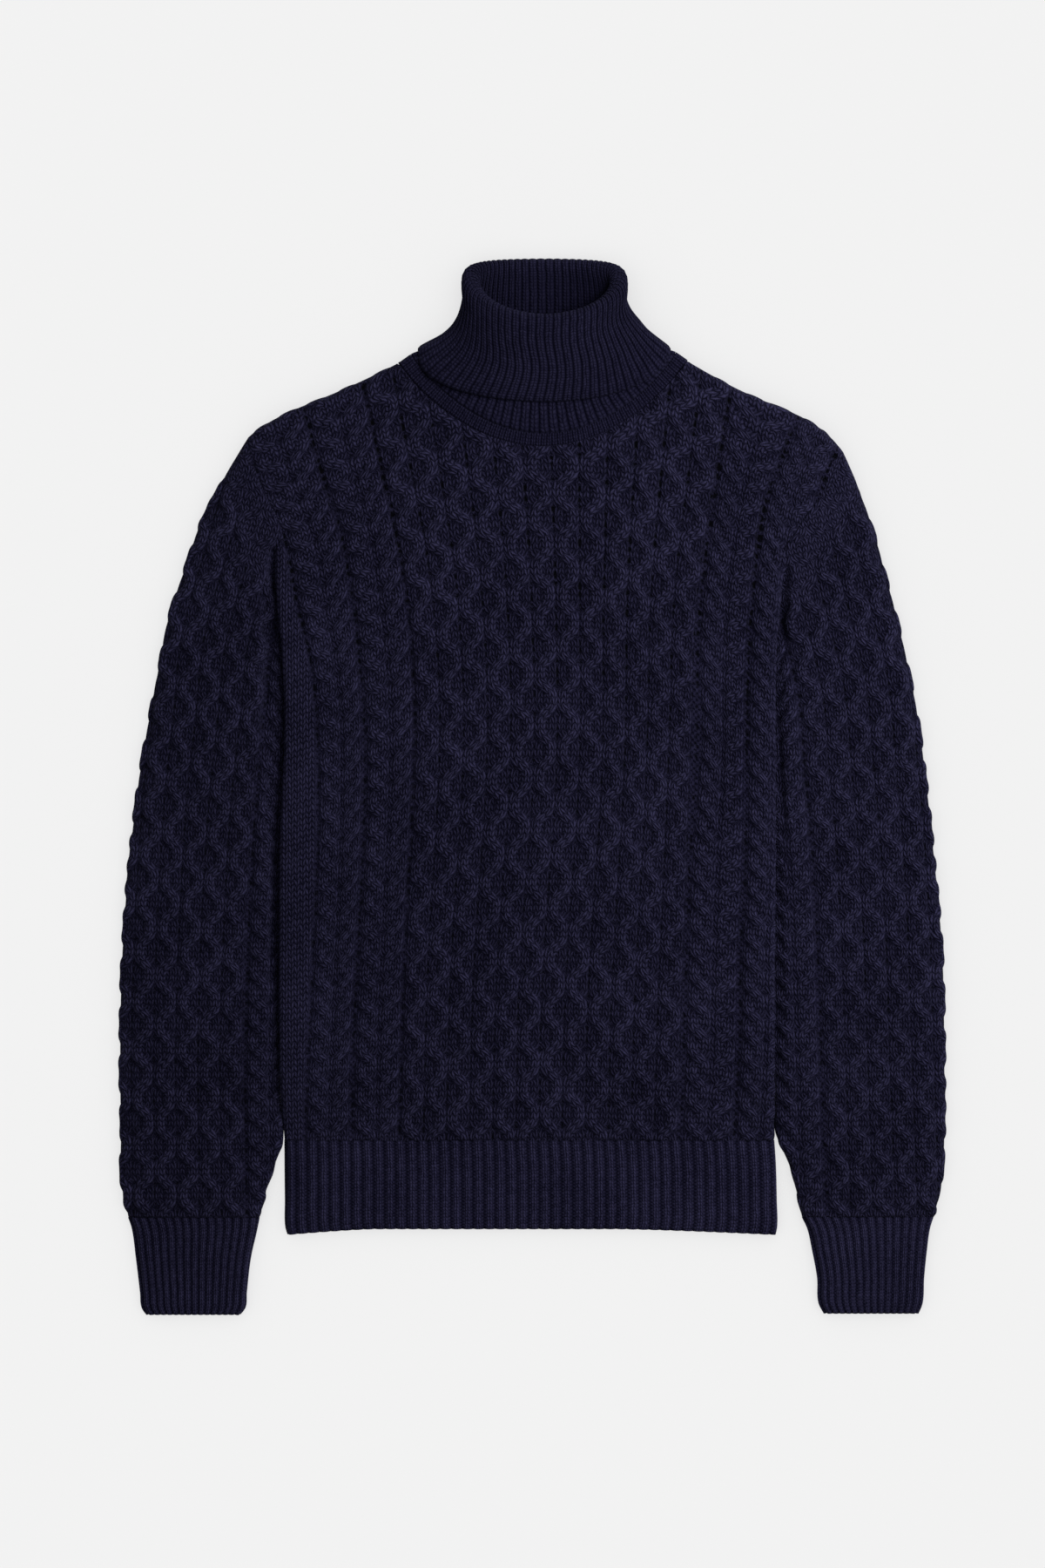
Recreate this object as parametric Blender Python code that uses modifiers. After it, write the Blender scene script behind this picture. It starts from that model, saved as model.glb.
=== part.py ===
"""Aran turtleneck sweater laid flat on its back: thin cloth shells at real size.

Lengths in the tables are millimetres and the model is in metres.  +Z is up, +Y runs from the
hem to the neck and +X is the wearer's left as seen from above.  The origin is on the surface
that the sweater lies on, under the middle of its outline.
"""
from collections import namedtuple

import bpy
import numpy as np

MM = 0.001
TOUCHING = 1e-6              # distance in millimetres taken as none

# cloth
CLOTH_WALL = 2.6
RIB_WALL = 2.2
SEAM_GAP = 0.3

# body, front and back panel together
HEM_SEAM_Y = -267.7
UNDERARM_SHARE = 0.84        # share of a side line that lies below the underarm
NECK_DIP_FRONT = 64.0
NECK_DIP_BACK = 7.0
NECK_CURVE_FRONT = 0.9
NECK_CURVE_BACK = 0.5
SHOULDER_BULGE_LEFT = 4.0
SHOULDER_BULGE_RIGHT = 7.0
SHOULDER_PEAK = 0.7          # below 1 the bulge of a shoulder line sits nearer the armhole
EDGE_TOP = 14.2              # height of the body's sides where a sleeve lies under them
EDGE_BOTTOM = 6.6
EDGE_FLAT = 12.0             # width of that raised strip
EDGE_RUN = 32.0              # width over which the body settles from it

SidePoint = namedtuple("SidePoint", "y left right")
SIDES = [
    SidePoint(y=-267.7, left=-187.5, right=183.0),
    SidePoint(y=-240.0, left=-189.6, right=183.2),
    SidePoint(y=-200.0, left=-191.0, right=183.0),
    SidePoint(y=-95.0, left=-191.4, right=183.5),
    SidePoint(y=-40.0, left=-190.7, right=184.0),
    SidePoint(y=0.0, left=-188.8, right=184.2),
    SidePoint(y=40.0, left=-187.2, right=184.0),
    SidePoint(y=105.0, left=-189.4, right=184.8),
    SidePoint(y=135.0, left=-192.6, right=187.2),
    SidePoint(y=165.0, left=-194.6, right=190.5),
    SidePoint(y=179.0, left=-195.0, right=191.0),
]

ArmholePoint = namedtuple("ArmholePoint", "share left_x left_y right_x right_y")
ARMHOLES = [
    ArmholePoint(share=0.00, left_x=-195.0, left_y=179.0, right_x=190.5, right_y=165.0),
    ArmholePoint(share=0.12, left_x=-190.5, left_y=187.0, right_x=191.5, right_y=176.0),
    ArmholePoint(share=0.32, left_x=-193.5, left_y=202.0, right_x=200.6, right_y=193.0),
    ArmholePoint(share=0.58, left_x=-203.5, left_y=223.0, right_x=215.0, right_y=213.5),
    ArmholePoint(share=0.80, left_x=-211.0, left_y=243.0, right_x=229.0, right_y=232.0),
    ArmholePoint(share=1.00, left_x=-215.2, left_y=264.3, right_x=235.8, right_y=253.0),
]

NeckPoint = namedtuple("NeckPoint", "x y")
NECK_LEFT = NeckPoint(x=-101.0, y=322.4)
NECK_RIGHT = NeckPoint(x=118.0, y=324.0)

HeightPoint = namedtuple("HeightPoint", "y top")
BODY_HEIGHTS = [
    HeightPoint(y=-340.0, top=7.8),
    HeightPoint(y=-267.7, top=8.2),
    HeightPoint(y=-220.0, top=9.2),
    HeightPoint(y=0.0, top=9.8),
    HeightPoint(y=120.0, top=10.6),
    HeightPoint(y=180.0, top=11.6),
    HeightPoint(y=250.0, top=12.8),
    HeightPoint(y=330.0, top=13.0),
]

# stretch of each side where the sleeve is tucked under: y where the lift starts and is full
LiftRange = namedtuple("LiftRange", "low full_low full_high high")
LIFT_LEFT = LiftRange(low=-262.0, full_low=-226.0, full_high=152.0, high=177.0)
LIFT_RIGHT = LiftRange(low=-262.0, full_low=-226.0, full_high=138.0, high=163.0)

# sleeves: inner edge that shows, outer edge, how far the flat inner lip is tucked under
ArmRow = namedtuple("ArmRow", "inner_x inner_y outer_x outer_y tuck lip height")
SLEEVE_LEFT = [
    ArmRow(inner_x=-195.0, inner_y=179.0, outer_x=-215.2, outer_y=264.3, tuck=0.0, lip=11.6, height=12.4),
    ArmRow(inner_x=-195.9, inner_y=170.0, outer_x=-234.0, outer_y=233.0, tuck=0.0, lip=6.6, height=12.0),
    ArmRow(inner_x=-197.0, inner_y=158.0, outer_x=-250.5, outer_y=202.0, tuck=1.8, lip=5.7, height=11.4),
    ArmRow(inner_x=-198.5, inner_y=146.0, outer_x=-262.5, outer_y=168.0, tuck=12.0, lip=5.6, height=11.0),
    ArmRow(inner_x=-199.5, inner_y=108.0, outer_x=-276.0, outer_y=128.0, tuck=18.0, lip=5.6, height=10.8),
    ArmRow(inner_x=-199.5, inner_y=60.0, outer_x=-287.0, outer_y=72.0, tuck=18.0, lip=5.6, height=10.6),
    ArmRow(inner_x=-198.0, inner_y=10.0, outer_x=-297.0, outer_y=14.0, tuck=17.0, lip=5.6, height=10.6),
    ArmRow(inner_x=-195.0, inner_y=-55.0, outer_x=-305.5, outer_y=-55.0, tuck=13.0, lip=5.6, height=10.4),
    ArmRow(inner_x=-193.6, inner_y=-125.0, outer_x=-310.8, outer_y=-125.0, tuck=11.0, lip=5.6, height=10.2),
    ArmRow(inner_x=-192.6, inner_y=-190.0, outer_x=-312.4, outer_y=-190.0, tuck=8.0, lip=5.6, height=10.0),
    ArmRow(inner_x=-192.4, inner_y=-228.0, outer_x=-312.4, outer_y=-228.0, tuck=0.0, lip=6.2, height=9.8),
    ArmRow(inner_x=-191.4, inner_y=-262.0, outer_x=-311.8, outer_y=-262.0, tuck=0.0, lip=7.6, height=9.6),
    ArmRow(inner_x=-197.0, inner_y=-292.0, outer_x=-312.0, outer_y=-293.0, tuck=0.0, lip=8.2, height=9.8),
    ArmRow(inner_x=-203.0, inner_y=-310.0, outer_x=-310.0, outer_y=-310.0, tuck=0.0, lip=8.2, height=9.6),
    ArmRow(inner_x=-208.6, inner_y=-326.0, outer_x=-306.0, outer_y=-326.0, tuck=0.0, lip=8.0, height=8.6),
]
SLEEVE_RIGHT = [
    ArmRow(inner_x=190.5, inner_y=165.0, outer_x=235.8, outer_y=253.0, tuck=0.0, lip=11.6, height=12.4),
    ArmRow(inner_x=191.6, inner_y=156.0, outer_x=247.5, outer_y=226.0, tuck=0.0, lip=6.6, height=12.0),
    ArmRow(inner_x=190.4, inner_y=144.0, outer_x=258.5, outer_y=196.0, tuck=1.0, lip=5.7, height=11.4),
    ArmRow(inner_x=189.4, inner_y=132.0, outer_x=267.5, outer_y=163.0, tuck=8.0, lip=5.6, height=11.0),
    ArmRow(inner_x=187.4, inner_y=98.0, outer_x=279.5, outer_y=117.0, tuck=9.0, lip=5.6, height=10.8),
    ArmRow(inner_x=186.4, inner_y=55.0, outer_x=291.0, outer_y=62.0, tuck=10.0, lip=5.6, height=10.6),
    ArmRow(inner_x=186.4, inner_y=5.0, outer_x=298.7, outer_y=5.0, tuck=10.0, lip=5.6, height=10.6),
    ArmRow(inner_x=186.0, inner_y=-55.0, outer_x=305.5, outer_y=-60.0, tuck=10.0, lip=5.6, height=10.4),
    ArmRow(inner_x=185.6, inner_y=-125.0, outer_x=311.0, outer_y=-125.0, tuck=9.0, lip=5.6, height=10.2),
    ArmRow(inner_x=185.4, inner_y=-190.0, outer_x=312.6, outer_y=-190.0, tuck=8.0, lip=5.6, height=10.0),
    ArmRow(inner_x=186.2, inner_y=-228.0, outer_x=312.8, outer_y=-228.0, tuck=0.0, lip=6.2, height=9.8),
    ArmRow(inner_x=187.2, inner_y=-262.0, outer_x=312.8, outer_y=-262.0, tuck=0.0, lip=7.6, height=9.6),
    ArmRow(inner_x=196.5, inner_y=-289.0, outer_x=311.4, outer_y=-290.0, tuck=0.0, lip=8.2, height=9.8),
    ArmRow(inner_x=200.8, inner_y=-308.0, outer_x=309.2, outer_y=-309.0, tuck=0.0, lip=8.2, height=9.6),
    ArmRow(inner_x=204.6, inner_y=-325.6, outer_x=304.6, outer_y=-325.6, tuck=0.0, lip=8.0, height=8.6),
]
SLEEVE_ROLL = 14.0           # how far in from its outer edge a sleeve rounds down
SLEEVE_RISE = 9.0            # width over which a sleeve rises from its tucked lip
END_STRETCH = 1.5            # straight stretch of a tube next to its seam
TIP_RUN = 1.6                # least run of a sleeve's tucked lip, in tip radii

TubeRow = namedtuple("TubeRow", "y left right height")
CUFF_LEFT = [
    TubeRow(y=-326.3, left=-305.4, right=-209.2, height=8.4),
    TubeRow(y=-333.5, left=-302.4, right=-210.8, height=8.6),
    TubeRow(y=-356.0, left=-299.8, right=-214.0, height=8.6),
    TubeRow(y=-383.0, left=-296.6, right=-216.8, height=8.2),
    TubeRow(y=-395.0, left=-295.2, right=-218.0, height=7.8),
    TubeRow(y=-399.5, left=-292.0, right=-221.5, height=7.4),
]
CUFF_RIGHT = [
    TubeRow(y=-325.9, left=205.0, right=304.2, height=8.4),
    TubeRow(y=-333.5, left=209.8, right=301.4, height=8.6),
    TubeRow(y=-352.0, left=213.0, right=298.6, height=8.6),
    TubeRow(y=-372.0, left=216.6, right=296.6, height=8.2),
    TubeRow(y=-391.5, left=217.8, right=295.4, height=7.8),
    TubeRow(y=-398.6, left=221.5, right=292.5, height=7.4),
]
HEM = [
    TubeRow(y=-268.0, left=-187.5, right=183.0, height=8.2),
    TubeRow(y=-285.0, left=-187.3, right=184.2, height=8.6),
    TubeRow(y=-310.0, left=-187.1, right=184.9, height=8.4),
    TubeRow(y=-331.5, left=-186.8, right=185.2, height=8.0),
    TubeRow(y=-337.0, left=-184.6, right=183.4, height=7.4),
]

# collar: rings round the neck, from the neckline up to the fold and down to the free edge
CollarRing = namedtuple(
    "CollarRing", "x_left x_right y_left y_right y_front y_back z_front z_back squareness")
SEAM_RING = CollarRing(x_left=-100.6, x_right=117.6, y_left=322.7, y_right=324.3,
                       y_front=258.9, y_back=316.2, z_front=11.8, z_back=1.1, squareness=0.30)
BAND_TOP = CollarRing(x_left=-91.0, x_right=107.5, y_left=326.0, y_right=328.0,
                      y_front=267.0, y_back=321.5, z_front=12.5, z_back=1.7, squareness=0.34)
STAND_RINGS = [
    CollarRing(x_left=-78.6, x_right=96.5, y_left=333.0, y_right=335.0,
               y_front=290.0, y_back=331.0, z_front=15.0, z_back=4.2, squareness=0.45),
    CollarRing(x_left=-59.0, x_right=80.0, y_left=347.0, y_right=348.0,
               y_front=315.0, y_back=352.0, z_front=18.2, z_back=6.8, squareness=0.60),
    CollarRing(x_left=-43.5, x_right=63.5, y_left=370.0, y_right=369.0,
               y_front=338.0, y_back=384.0, z_front=21.1, z_back=9.0, squareness=0.80),
]
FOLD_RING = CollarRing(x_left=-45.5, x_right=64.7, y_left=381.0, y_right=380.0,
                       y_front=349.8, y_back=395.0, z_front=26.6, z_back=5.2, squareness=0.90)
TURN_RINGS = [
    CollarRing(x_left=-53.0, x_right=73.0, y_left=366.0, y_right=365.0,
               y_front=335.0, y_back=381.0, z_front=30.1, z_back=1.1, squareness=0.85),
    CollarRing(x_left=-62.5, x_right=86.0, y_left=347.5, y_right=350.0,
               y_front=313.0, y_back=357.0, z_front=25.0, z_back=1.1, squareness=0.70),
    CollarRing(x_left=-82.2, x_right=101.0, y_left=333.4, y_right=338.0,
               y_front=290.6, y_back=335.0, z_front=18.0, z_back=1.1, squareness=0.48),
]
FOLD_RADIUS_FRONT = 4.6
FOLD_RADIUS_SIDE = 5.6
FOLD_RADIUS_BACK = 4.1
FOLD_STEPS = 4
FRONT_ROUNDNESS = 1.8        # power of the sine along the front of the seam ring
FOLD_FRONT_ROUNDNESS = 1.15
BACK_ROUNDNESS = 0.55
TURN_ROUNDNESS = (1.15, 1.2, 1.3)
BAND_ROUNDNESS = 0.8
GAP_GROWTH = 0.7             # extra seam gap at the sides of the neck, where the cloth leans
BAND_CLEARANCE = 0.65        # share of the rib's wall kept from the panels at those sides

# mesh density
EDGE_ANGLES = (0.0, 22.0, 45.0, 67.0, 90.0)
EDGE_STRIP = (EDGE_FLAT, EDGE_FLAT + 0.5 * EDGE_RUN, EDGE_FLAT + EDGE_RUN)
NECK_COLUMNS = 10            # spans of a panel's neckline
BODY_ROWS = (0.0, 0.03, 0.08, 0.20, 0.34, 0.48, 0.61, 0.72, 0.79, 0.84, 0.88, 0.93)
SHOULDER_STEPS = (12.0, 4.5, 1.5, 0.0)
SIDE_SAMPLES = 24
SHOULDER_SAMPLES = 8
PANEL_HEIGHT = 530.0         # sizes that the mesh distances in these tables are shares of
PANEL_WIDTH = 372.0
EDGE_RADIUS = 5.0
TIP_ANGLES = (0.0, 40.0, 75.0)
TIP_UNDER_ANGLES = (-55.0, -25.0)
SLEEVE_TOP_SHARES = (0.0, 0.33, 0.67, 1.0)
SLEEVE_UNDER_SHARES = (1.0, 0.6, 0.2)
ROLL_ANGLES = (60.0, 35.0, 15.0, 0.0, -20.0, -50.0)
TUBE_ANGLES = (55.0, 20.0, -20.0, -55.0)
TUBE_SAMPLES = 7
COLLAR_COLUMNS = 4 * NECK_COLUMNS

NAVY = (0.012, 0.011, 0.024, 1.0)
WOOL_ROUGHNESS = 0.95


def smooth_step(value):
    """Smooth ramp from 0 to 1."""
    t = np.clip(value, 0.0, 1.0)
    return t * t * (3.0 - 2.0 * t)


def through(knots, values, at):
    """Smooth curve through values at knots, with averaged slopes."""
    knots = np.asarray(knots, float)
    values = np.asarray(values, float)
    rising = np.diff(values) / np.diff(knots)
    slopes = np.empty_like(values)
    slopes[1:-1] = 0.5 * (rising[1:] + rising[:-1])
    slopes[0] = rising[0]
    slopes[-1] = rising[-1]
    at = np.clip(np.asarray(at, float), knots[0], knots[-1])
    cell = np.clip(np.searchsorted(knots, at, side="right") - 1, 0, len(knots) - 2)
    width = knots[cell + 1] - knots[cell]
    t = (at - knots[cell]) / width
    start = (1 + 2 * t) * (1 - t) ** 2 * values[cell] + t * (1 - t) ** 2 * width * slopes[cell]
    end = t * t * (3 - 2 * t) * values[cell + 1] - t * t * (1 - t) * width * slopes[cell + 1]
    return start + end


def column(rows, name):
    """One named column of a table."""
    return [getattr(row, name) for row in rows]


def side_line(share, side):
    """Plan point of a body side: hem to underarm, then up the armhole to the shoulder."""
    share = np.asarray(share, float)
    underarm_y = getattr(ARMHOLES[0], side + "_y")
    below = np.clip(share / UNDERARM_SHARE, 0.0, 1.0)
    y_low = HEM_SEAM_Y + below * (underarm_y - HEM_SEAM_Y)
    x_low = through(column(SIDES, "y"), column(SIDES, side), y_low)
    above = np.clip((share - UNDERARM_SHARE) / (1.0 - UNDERARM_SHARE), 0.0, 1.0)
    shares = column(ARMHOLES, "share")
    x_high = through(shares, column(ARMHOLES, side + "_x"), above)
    y_high = through(shares, column(ARMHOLES, side + "_y"), above)
    high = share > UNDERARM_SHARE
    return np.stack([np.where(high, x_high, x_low), np.where(high, y_high, y_low)], axis=-1)


def top_line(share, dip, curve):
    """Plan point of a panel's top: left shoulder, neckline with its dip, right shoulder."""
    share = np.asarray(share, float)
    left = side_line(1.0, "left")
    right = side_line(1.0, "right")
    neck_left = np.array(NECK_LEFT)
    neck_right = np.array(NECK_RIGHT)
    lengths = np.array([NECK_LEFT.x - left[0], NECK_RIGHT.x - NECK_LEFT.x, right[0] - NECK_RIGHT.x])
    start, end = lengths[0] / lengths.sum(), (lengths[0] + lengths[1]) / lengths.sum()
    a = np.clip(share / start, 0.0, 1.0)[..., None]
    b = np.clip((share - start) / (end - start), 0.0, 1.0)[..., None]
    c = np.clip((share - end) / (1.0 - end), 0.0, 1.0)[..., None]
    up = np.array([0.0, 1.0])
    left_shoulder = (left + a * (neck_left - left)
                     + up * SHOULDER_BULGE_LEFT * np.sin(np.pi * a ** SHOULDER_PEAK))
    right_shoulder = (neck_right + c * (right - neck_right)
                      + up * SHOULDER_BULGE_RIGHT * np.sin(np.pi * (1.0 - c) ** SHOULDER_PEAK))
    across = 2.0 * b - 1.0
    neckline = (neck_left + b * (neck_right - neck_left)
                - up * dip * np.clip(1.0 - across ** 2, 0.0, 1.0) ** curve)
    plan = np.where(a < 1.0, left_shoulder, neckline)
    return np.where(c > 0.0, right_shoulder, plan), start, end


def panel_plan(u, v, dip, curve):
    """Plan point inside a panel, blended from its four border lines."""
    u = np.asarray(u, float)[..., None]
    v = np.asarray(v, float)[..., None]
    left = side_line(v[..., 0], "left")
    right = side_line(v[..., 0], "right")
    top = top_line(u[..., 0], dip, curve)[0]
    corner_00, corner_01 = side_line(0.0, "left"), side_line(1.0, "left")
    corner_10, corner_11 = side_line(0.0, "right"), side_line(1.0, "right")
    bottom = corner_00 + u * (corner_10 - corner_00)
    corners = ((1 - u) * (1 - v) * corner_00 + u * (1 - v) * corner_10
               + (1 - u) * v * corner_01 + u * v * corner_11)
    return (1 - v) * bottom + v * top + (1 - u) * left + u * right - corners


def folded_edges():
    """The lines where the front turns over to the back: both sides and both shoulders."""
    low = np.linspace(0.0, UNDERARM_SHARE, SIDE_SAMPLES)
    start, end = top_line(0.0, NECK_DIP_FRONT, NECK_CURVE_FRONT)[1:]
    left_top = np.linspace(0.0, start, SHOULDER_SAMPLES)
    right_top = np.linspace(end, 1.0, SHOULDER_SAMPLES)
    return [
        side_line(low, "left"),
        side_line(low, "right"),
        top_line(left_top, NECK_DIP_FRONT, NECK_CURVE_FRONT)[0],
        top_line(right_top, NECK_DIP_FRONT, NECK_CURVE_FRONT)[0],
    ]


def nearest_edge(plan, edges):
    """Distance from plan points to the folded edges, and the direction away from the nearest."""
    best = np.full(plan.shape[:-1], np.inf)
    inward = np.zeros_like(plan)
    for line in edges:
        for a, b in zip(line[:-1], line[1:]):
            along = b - a
            t = np.clip(((plan - a) @ along) / (along @ along), 0.0, 1.0)[..., None]
            away = plan - (a + t * along)
            distance = np.linalg.norm(away, axis=-1)
            normal = np.array([-along[1], along[0]]) / np.linalg.norm(along)
            normal = normal * np.sign(normal @ -a)
            reach = np.maximum(distance, TOUCHING)[..., None]
            unit = np.where(distance[..., None] > TOUCHING, away / reach, normal)
            closer = distance < best
            best = np.where(closer, distance, best)
            inward = np.where(closer[..., None], unit, inward)
    return best, inward


def lift_share(y, stretch):
    """How fully a body side is lifted by the sleeve under it, from 0 to 1."""
    rise = smooth_step((y - stretch.low) / (stretch.full_low - stretch.low))
    fall = smooth_step((stretch.high - y) / (stretch.high - stretch.full_high))
    return rise * fall


def body_heights(plan):
    """Underside and top of the whole body, both layers, before its edges are rounded."""
    x, y = plan[..., 0], plan[..., 1]
    left = through(column(SIDES, "y"), column(SIDES, "left"), y)
    right = through(column(SIDES, "y"), column(SIDES, "right"), y)
    centre_top = through(column(BODY_HEIGHTS, "y"), column(BODY_HEIGHTS, "top"), y)
    lifted = np.maximum(
        lift_share(y, LIFT_LEFT) * (1.0 - smooth_step((x - left - EDGE_FLAT) / EDGE_RUN)),
        lift_share(y, LIFT_RIGHT) * (1.0 - smooth_step((right - x - EDGE_FLAT) / EDGE_RUN)))
    return EDGE_BOTTOM * lifted, centre_top + (EDGE_TOP - centre_top) * lifted


def panel_sheets(u, v, dip, curve, front):
    """Outer and inner surface points of the front or back panel over a grid."""
    plan = panel_plan(u, v, dip, curve)
    low, high = body_heights(plan)
    middle, radius = 0.5 * (low + high), 0.5 * (high - low) - 0.5 * SEAM_GAP
    distance, inward = nearest_edge(plan, folded_edges())
    cosine = 1.0 - np.clip(distance / radius, 0.0, 1.0)
    sine = np.sqrt(1.0 - cosine ** 2)
    side = 1.0 if front else -1.0
    height = middle + side * (0.5 * SEAM_GAP + radius * sine)
    outer = np.concatenate([plan, height[..., None]], axis=-1)
    turn = np.concatenate([inward * cosine[..., None], -side * sine[..., None]], axis=-1)
    return outer, outer + CLOTH_WALL * turn


def panel_grid():
    """Grid shares of a panel: close together at the folded edges, wide apart inside."""
    rows = np.concatenate([BODY_ROWS, 1.0 - np.array(SHOULDER_STEPS) / PANEL_HEIGHT])
    rounding = EDGE_RADIUS * (1.0 - np.cos(np.radians(EDGE_ANGLES)))
    edge = np.concatenate([rounding, EDGE_STRIP]) / PANEL_WIDTH
    start, end = top_line(0.0, NECK_DIP_FRONT, NECK_CURVE_FRONT)[1:]
    neck = start + (end - start) * 0.5 * (1.0 - np.cos(np.linspace(0.0, np.pi, NECK_COLUMNS + 1)))
    left_middle = 0.5 * (edge[-1] + start)
    right_middle = 0.5 * (1.0 - edge[-1] + end)
    columns = np.concatenate([edge, [left_middle], neck, [right_middle], 1.0 - edge[::-1]])
    return np.meshgrid(columns, rows, indexing="ij")


def section(width, tuck, lip, height, roll):
    """Closed cross-section of a flattened tube: distance from its inner tip, and height."""
    tip = 0.5 * lip
    bend = 0.5 * height
    points = []
    for angle in TIP_ANGLES:
        a = np.radians(angle)
        points.append((tip * (1.0 - np.cos(a)), tip + tip * np.sin(a)))
    rise_start = max(tuck, TIP_RUN * tip)
    rise_end = rise_start + SLEEVE_RISE
    flat_end = width - roll
    points.append((rise_start, lip))
    points.append((0.5 * (rise_start + rise_end), 0.5 * (lip + height)))
    for share in SLEEVE_TOP_SHARES:
        points.append((rise_end + share * (flat_end - rise_end), height))
    for angle in ROLL_ANGLES:
        a = np.radians(angle)
        points.append((flat_end + roll * np.cos(a), bend + bend * np.sin(a)))
    for share in SLEEVE_UNDER_SHARES:
        points.append((2.0 * tip + share * (flat_end - 2.0 * tip), 0.0))
    for angle in TIP_UNDER_ANGLES:
        a = np.radians(angle)
        points.append((tip * (1.0 - np.cos(a)), tip + tip * np.sin(a)))
    return np.array(points)


def armhole_rings(points, width, side):
    """A sleeve's first two rings: its section along the armhole, then a short way straight out."""
    shares = panel_grid()[1][0]
    seam = side_line(shares[shares >= UNDERARM_SHARE], side)
    steps = np.diff(seam, axis=0)
    length = np.concatenate([[0.0], np.cumsum(np.linalg.norm(steps, axis=1))])
    across = np.array([1.0, -1.0]) if side == "right" else np.array([-1.0, 1.0])
    normals = steps[:, ::-1] * across
    normals = normals / np.linalg.norm(normals, axis=1)[:, None]
    corner_normals = np.concatenate([normals[:1], 0.5 * (normals[1:] + normals[:-1]), normals[-1:]])
    top = np.flatnonzero(points[:, 1] > 0.5 * points[:, 1].max())
    along = points[:, 0] / width * length[-1]
    for group in (top, np.setdiff1d(np.arange(len(points)), top)):
        for corner in length[1:-1]:
            along[group[np.argmin(abs(along[group] - corner))]] = corner
    plan = np.column_stack([np.interp(along, length, seam[:, axis]) for axis in range(2)])
    away = np.column_stack([np.interp(along, length, corner_normals[:, axis]) for axis in range(2)])
    return [np.column_stack([plan + reach * away, points[:, 1]])
            for reach in (SEAM_GAP, SEAM_GAP + END_STRETCH)]


def squared_end(rings):
    """Rings with a short straight stretch before the last, so that the end is cut square."""
    step = rings[-1][:, 1].mean() - rings[-2][:, 1].mean()
    short = np.array([0.0, np.sign(step) * END_STRETCH, 0.0])
    return rings[:-1] + [rings[-1] - short, rings[-1]]


def sleeve_rings(rows, side):
    """Rings of a sleeve from the armhole to the cuff seam."""
    rings = []
    for index, row in enumerate(rows):
        inner = np.array([row.inner_x, row.inner_y])
        outer = np.array([row.outer_x, row.outer_y])
        across = outer - inner
        width = np.linalg.norm(across)
        unit = across / width
        tip = inner - unit * row.tuck
        width = width + row.tuck
        points = section(width, row.tuck, row.lip, row.height, SLEEVE_ROLL if index else 0.5 * row.height)
        if index == 0:
            rings += armhole_rings(points, width, side)
        else:
            rings.append(np.column_stack([tip + points[:, :1] * unit, points[:, 1]]))
    return squared_end(rings)


def tube_rings(rows):
    """Rings of a plain flattened tube such as a cuff or the hem."""
    rings = []
    for row in rows:
        width = row.right - row.left
        bend = 0.5 * row.height
        points = []
        for share in np.linspace(0.0, 1.0, TUBE_SAMPLES):
            points.append((row.left + bend + share * (width - row.height), row.height))
        for angle in TUBE_ANGLES:
            a = np.radians(angle)
            points.append((row.right - bend + bend * np.cos(a), bend + bend * np.sin(a)))
        for share in np.linspace(1.0, 0.0, TUBE_SAMPLES):
            points.append((row.left + bend + share * (width - row.height), 0.0))
        for angle in TUBE_ANGLES[::-1]:
            a = np.radians(angle)
            points.append((row.left + bend - bend * np.cos(a), bend + bend * np.sin(a)))
        points = np.array(points)
        rings.append(np.column_stack([points[:, 0], np.full(len(points), row.y), points[:, 1]]))
    return squared_end(rings[::-1])[::-1]


def neck_angles():
    """Even angles round the neck; every second one meets a column of a panel."""
    return np.linspace(0.0, 2.0 * np.pi, COLLAR_COLUMNS, endpoint=False)


def neckline_y(x, dip, curve):
    """Height up the sheet of a panel's straight-sided neckline at x."""
    u = panel_grid()[0][:, 0]
    line = top_line(u, dip, curve)[0]
    return np.interp(x, line[:, 0], line[:, 1])


def neck_ring(ring, front_power, back_power, angles):
    """Points of one collar ring; angle 90 degrees is the front and 270 the back."""
    cosine, sine = np.cos(angles), np.sin(angles)
    half = 0.5 * (ring.x_right - ring.x_left)
    x = 0.5 * (ring.x_right + ring.x_left) + half * cosine
    side_y = 0.5 * (ring.y_left + ring.y_right) + 0.5 * (ring.y_right - ring.y_left) * cosine
    front = side_y + (ring.y_front - side_y) * np.abs(sine) ** front_power
    back = side_y + (ring.y_back - side_y) * np.abs(sine) ** back_power
    middle = 0.5 * (ring.z_front + ring.z_back)
    reach = 0.5 * (ring.z_front - ring.z_back)
    z = middle + reach * np.sign(sine) * np.abs(sine) ** ring.squareness
    return np.column_stack([x, np.where(sine > 0.0, front, back), z])


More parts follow.
